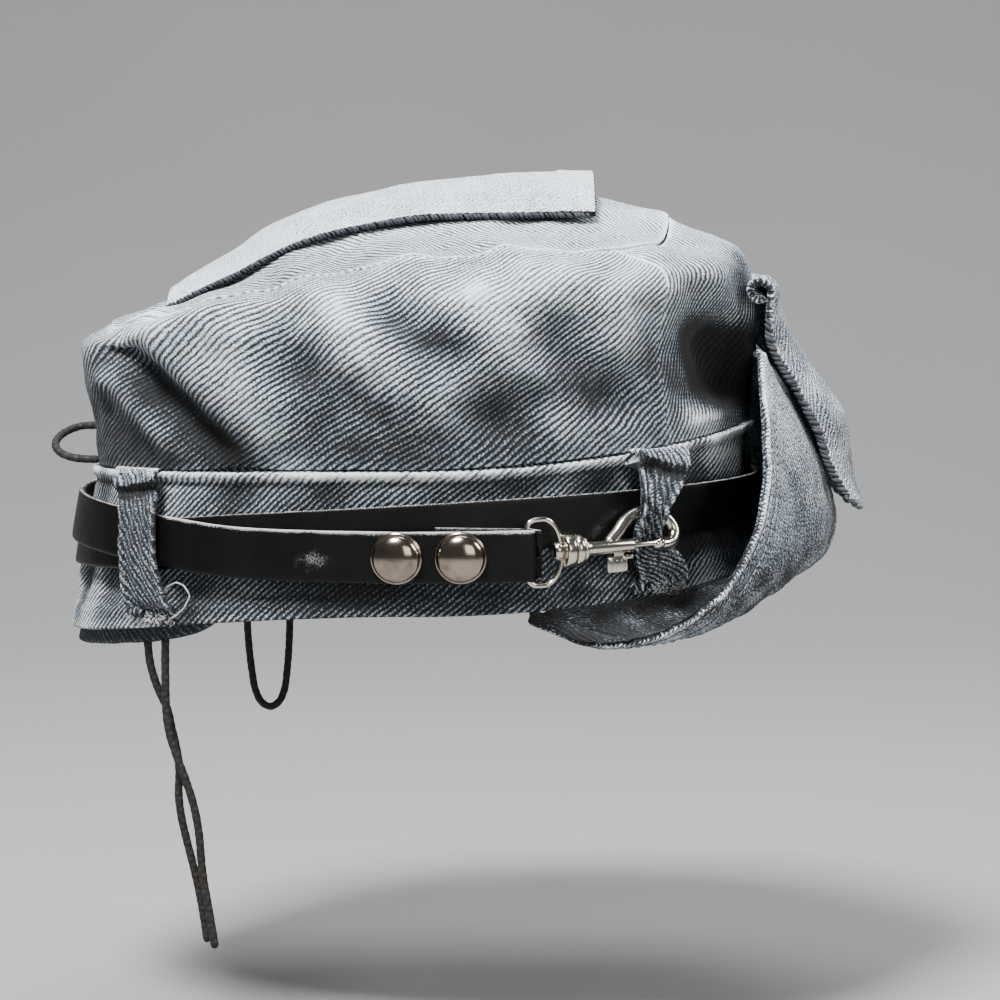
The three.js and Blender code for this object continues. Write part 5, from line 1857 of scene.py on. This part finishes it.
@dataclass(frozen=True)
class LeatherStrap:
    """One leather strap, twice round the band, its end folded round the snap's eye."""

    width: float = 14.0
    wall: float = 1.8
    fold_radius: float = 2.4
    fold_z: float = 21.8
    angle_step: float = 2.5
    route: Table = Table(
        ("angle", "out", "z"),
        (
            (78, 7.9, 21.5), (82, 6.4, 21.4), (86, 5.5, 21.3), (90, 5.1, 21.2), (94, 4.2, 21.2),
            (98, 3.5, 21.2), (104, 3.3, 21.2), (120, 3.3, 21.6), (135, 3.3, 23.5), (157, 3.3, 25.6),
            (180, 3.3, 26.8), (215, 3.3, 28.6), (240, 3.2, 30), (255, 1.2, 30.6), (300, 1.2, 31.4),
            (360, 1.2, 32), (400, 1.2, 31.4), (430, 1.2, 29.8), (455, 1.2, 27.6), (480, 1.2, 24.6),
            (500, 1.2, 21.6), (540, 1.2, 18.6), (575, 1.2, 15.8), (600, 1.2, 15), (652, 1.2, 14.8),
        ),
    )
    folded: Table = Table(
        ("angle", "out", "z"),
        ((86, 3.3, 22.2), (82, 3.6, 22.1), (79, 4.3, 22)),
    )

    def point(self, angle: Points) -> Points:
        """Middle of the strap at an angle of its route."""
        angle = np.asarray(angle, float)
        return BAND.point(angle, self.route.at("z", angle), self.route.at("out", angle))

    @staticmethod
    def lean(angle: Points) -> Points:
        """Direction of the strap's width."""
        angle = np.asarray(angle, float)
        return unit(BAND.point(angle, 30.0 + 0 * angle) - BAND.point(angle, 10.0 + 0 * angle))

    def ribbon(self) -> Ribbon:
        """The strap's route: its folded end, the fold, then the two turns."""
        ends, outs, heights = np.array(self.folded.rows).T
        turns = np.radians(np.linspace(-90, 90, 9))[:, None]
        bar = SNAP.world([-SNAP.eye_half_length, 0, 0])
        axis, _, outward = SNAP.axes()
        fold = bar + self.fold_radius * (np.sin(turns) * outward + np.cos(turns) * axis)
        fold[:, 2] = self.fold_z
        first, last = self.route.rows[0][0], self.route.rows[-1][0]
        angles = np.linspace(first, last, 1 + round((last - first) / self.angle_step))
        points = np.vstack([BAND.point(ends, heights, outs), fold, self.point(angles)])
        bend = np.repeat(self.lean([first]), len(fold), axis=0)
        across = np.vstack([self.lean(ends), bend, self.lean(angles)])
        return Ribbon(points, across, np.full(len(points), self.width), self.wall, -1.0)

    @staticmethod
    def scuff(face: Points, step: Points, across: Points) -> Points:
        """A ragged grey scuff on the outer turn."""
        off = face - np.array([-80.0, 26.0, 20.4])
        ragged = np.clip(1 + 0.6 * ripple(face, 3.1, 83), 0.4, 3)
        away = (off[..., 1] / 2.5) ** 2 + (off[..., 2] / 1.7) ** 2
        return np.exp(-(away * ragged)) * (face[..., 0] < 0)

    def worn(self, face: Points, step: Points, across: Points) -> Points:
        """The scuff, and the bare upper edge."""
        outer = smooth(69, 67, face[..., 1]) * (face[..., 0] < 0) * smooth(63, 60, step)
        reach = 0.35 + (0.75 + 0.3 * ripple(face, 9, 86) + 0.22 * ripple(face, 2.4, 87)) * outer
        upper = smooth(0.5 - reach / self.width, 0.5, across)
        return 0.46 * self.scuff(face, step, across) + upper * (0.4 + 0.42 * outer)

    @staticmethod
    def relief(face: Points, step: Points, across: Points) -> Points:
        """Slight waves, and sides that are pressed down a little."""
        return 0.05 * ripple(face, 14, 81) + 0.12 * smooth(0.5, 0.42, np.abs(across)) - 0.12

    def build(self) -> None:
        """Make the strap."""
        ribbon = self.ribbon()
        last = len(ribbon.points) - 1
        near = [last - 0.1, last - 0.03, last]
        steps = np.concatenate([[0, 0.03, 0.1], np.linspace(0.2, last - 0.2, 1000), near])
        panel = ribbon.panel(steps, 24, self.relief, rounding=0.35, worn=self.worn,
                             shaded=self.scuff, worn_edge=0.2, worn_reach=0.2, dark_edge=0.0)
        panel.skin().build("leather_strap_skin", Leather(), Slot.LEATHER, ("leather_strap",))


def lathe(profile: Outline, sides: int) -> Skin:
    """A round solid turned about +Z from (radius, height) pairs.

    Args:
        profile: Its outline from the middle of one end to the middle of the other.
        sides: Sides round it.

    Returns:
        The closed solid.
    """
    inner = [(r, z) for r, z in profile if r > 1e-6]
    rings = np.array([[(r * np.cos(t), r * np.sin(t), z) for t in circle(sides)] for r, z in inner])
    ends = np.array([(0, 0, profile[0][1]), (0, 0, profile[-1][1])])
    total = len(inner) * sides
    last = total - sides
    faces = tube_faces(len(inner), sides)
    faces += [(total, (i + 1) % sides, i) for i in range(sides)]
    faces += [(total + 1, last + i, last + (i + 1) % sides) for i in range(sides)]
    return Skin.bare(np.vstack([rings.reshape(-1, 3), ends]), faces)


@dataclass(frozen=True)
class Rivets:
    """Two domed rivets with a rolled rim, on the outer turn of the strap."""

    radius: float = 7.1
    height: float = 4.2
    roll: float = 0.45
    dome_start: float = 0.85
    angles: tuple[float, float] = (91.7, 82.2)
    strap: LeatherStrap = LeatherStrap()

    def profile(self) -> Outline:
        """Outline of a rivet: a rolled rim, a step and the dome."""
        roll, middle = self.roll, self.radius - self.roll
        turns = np.linspace(-1.4, 1.5, 9)
        rim = [(middle + roll * np.cos(t), roll + roll * np.sin(t)) for t in turns]
        wide, tall = self.radius - 0.55, self.height - self.dome_start
        turns = np.linspace(0.1, 1.5, 22)
        dome = [(wide * np.cos(t), self.dome_start + tall * np.sin(t)) for t in turns]
        return [(0.0, 0.0), (self.radius - 0.7, 0.0), *rim, *dome, (0.0, self.height)]

    def build(self) -> None:
        """Make the two rivets."""
        for name, angle in zip(("rivet_rear", "rivet_front"), self.angles):
            before, after = self.strap.point([angle - 2])[0], self.strap.point([angle + 2])[0]
            outward = unit(np.cross(after - before, [0, 0, 1.0]))
            outward = outward * np.sign(outward @ BAND.normal(np.array([angle]), np.array([20.0]))[0])
            side = unit(np.cross([0, 0, 1.0], outward))
            axes = np.stack([side, np.cross(outward, side), outward])
            place = self.strap.point([angle])[0] + outward * (self.strap.wall / 2 + GAP)
            skin = lathe(self.profile(), 72)
            skin.points = skin.points @ axes + place
            skin.build(f"{name}_dome", DOME_NICKEL, Slot.NICKEL, (name,))


@dataclass(frozen=True)
class Snap:
    """Swivel snap: eye and collar, barrel with hook, and a sliding bolt with a thumb knob."""

    eye_half_height: float = 9.0
    eye_points: int = 160
    eye_sides: int = 14
    strap_side: float = 0.48
    hook_side: float = 1.0
    ring_wire: float = 0.75
    hook_wire: float = 1.75
    hook_route: tuple[tuple[float, float], ...] = (
        (19.5, 1.2), (22.4, 3.6), (25.6, 6.6), (30, 8.4), (34.6, 8), (38.4, 5.8), (40, 2.8),
        (38.9, 0.3), (36.6, -0.5), (33.6, -0.3),
    )

    @staticmethod
    def turned(profile: Outline, sides: int = 40) -> Skin:
        """A solid turned about the snap's axis, from (radius, place along the axis) pairs."""
        skin = lathe(profile, sides)
        skin.points = skin.points[:, [2, 0, 1]]
        return skin

    @staticmethod
    def disc(start: float, end: float, radius: float, soft: float) -> Outline:
        """Outline of a disc with rounded edges."""
        turns = np.linspace(0, np.pi / 2, 6)
        core = radius - soft
        low = [(core + soft * np.sin(t), start + soft * (1 - np.cos(t))) for t in turns]
        high = [(core + soft * np.cos(t), end - soft * (1 - np.sin(t))) for t in turns]
        return [(0.0, start), *low, *high, (0.0, end)]

    def eye(self) -> Skin:
        """The squared ring, its boss and its collar."""
        turns = np.linspace(0, 2 * np.pi, 97)[:-1]
        bend = np.where(np.cos(turns) > 1e-9, self.hook_side, self.strap_side)
        x = SNAP.eye_half_length * squared(np.cos(turns), bend)
        y = self.eye_half_height * squared(np.sin(turns), bend)
        loop = stack(x, y, 0 * x)
        dense = smooth_path(np.vstack([loop, loop[:1]]), self.eye_points)[:-1]
        tangent = unit(np.roll(dense, -1, axis=0) - np.roll(dense, 1, axis=0))
        away = np.array([0, 0, 1.0])
        out = np.cross(tangent, away)[:, None]
        around = circle(self.eye_sides)[None, :, None]
        ring = dense[:, None] + self.ring_wire * (out * np.cos(around) + away * np.sin(around))
        wire = Skin.bare(ring.reshape(-1, 3), tube_faces(len(dense), self.eye_sides, closed=True))
        boss = self.turned([(0, 2.6), (1.9, 2.6), (2.5, 3.2), (2.6, 4.2), (2.3, 5.6), (0, 5.6)])
        groove = self.turned([(0, 5.3), *self.disc(5.4, 8.2, 4.8, 0.7)[1:-1], (0, 8.3)])
        return Skin.joined([wire, boss, groove])

    def hook(self) -> Skin:
        """The second collar, the barrel and the hook."""
        route = tuple((x, y, -0.4 * max(y, 0) - 0.3 * max(x - 33, 0)) for x, y in self.hook_route)
        path = smooth_path(route, 90)
        share = np.linspace(0, 1, len(path))
        thick = self.hook_wire * (1.0 + 0.12 * np.sin(share * np.pi) - 0.1 * smooth(0.9, 1.0, share))
        bend = tube_skin(path, thick, 18)
        collar = self.turned(self.disc(8.5, 10.9, 4.5, 0.9))
        rib = self.turned(self.disc(11.0, 12.3, 3.5, 0.55))
        barrel = self.turned([(0, 10.7), (2.4, 10.7), (2.4, 12.0), (2.1, 12.8), (2.0, 14), (2.0, 25.9),
                              (1.8, 26.4), (1.25, 26.4), (1.25, 26.0), (0, 26.0)])
        seat = self.turned([(0, 33.5), (1.25, 33.5), (1.45, 33.9), (1.45, 34.8), (1.3, 35.4), (0, 35.4)])
        return Skin.joined([bend, collar, rib, barrel, seat])

    def gate(self) -> Skin:
        """The bolt with its neck, knob and lip."""
        bolt = self.turned([(0, 19), (0.8, 19), (0.9, 19.2), (0.9, 32.8), (0.75, 33.1), (0, 33.1)], 24)
        knob = self.pillow(18.2, 24.4, -7.2, -2.5, 2.2, 0.7)
        lip = self.pillow(22.6, 26.0, -3.6, -2.5, 2.2, 0.35)
        neck = self.pillow(20.4, 23.4, -3.0, -0.4, 1.2, 0.2)
        ridges = [self.pillow(19.2 + i * 1.4, 19.8 + i * 1.4, -6.4, -3.6, 2.9, 0.25) for i in range(4)]
        return Skin.joined([bolt, knob, lip, neck, *ridges])

    @staticmethod
    def pillow(start: float, end: float, bottom: float, top: float, thick: float, soft: float) -> Skin:
        """A block with rounded edges, by places along the snap's axes.

        Args:
            start: First place along the axis.
            end: Last place along the axis.
            bottom: Lowest place.
            top: Highest place.
            thick: Size away from the cap.
            soft: Radius of its edges.

        Returns:
            The closed block.
        """
        half = np.array([end - start, top - bottom, thick]) / 2
        centre = np.array([(start + end) / 2, (top + bottom) / 2, 0.0])
        rows, sides = 12, 24
        tilt = np.linspace(-np.pi / 2, np.pi / 2, rows + 1)[:, None]
        turn = circle(sides)[None, :]
        ball = stack(np.cos(tilt) * np.cos(turn), np.cos(tilt) * np.sin(turn), np.sin(tilt) + 0 * turn)
        box = np.clip(ball * 1.9, -1, 1) * (half - soft) + unit(ball) * soft
        return Skin.bare(box.reshape(-1, 3) + centre, tube_faces(rows + 1, sides))

    def build(self) -> None:
        """Make the snap's three pieces."""
        parts = (
            ("snap_eye", self.eye(), CAP_BODY),
            ("snap_hook", self.hook(), CAP_BODY),
            ("snap_gate", self.gate(), GATE_BODY),
        )
        for name, skin, body in parts:
            skin.points = SNAP.world(skin.points)
            skin.build(f"{name}_metal", BRIGHT_NICKEL, Slot.NICKEL, (name,), body)


def main() -> None:
    """Build the cap, piece by piece."""
    logging.basicConfig(level=logging.INFO, format="%(name)s: %(message)s")
    Studio().build()
    for piece in (Drawcord(), Crown(), Headband(), Visor(), TopStrip(), FrontTab(), BeltLoops(),
                  LeatherStrap(), Rivets(), Snap()):
        LOG.info("building %s", type(piece).__name__)
        piece.build()


if __name__ == "__main__":
    main()
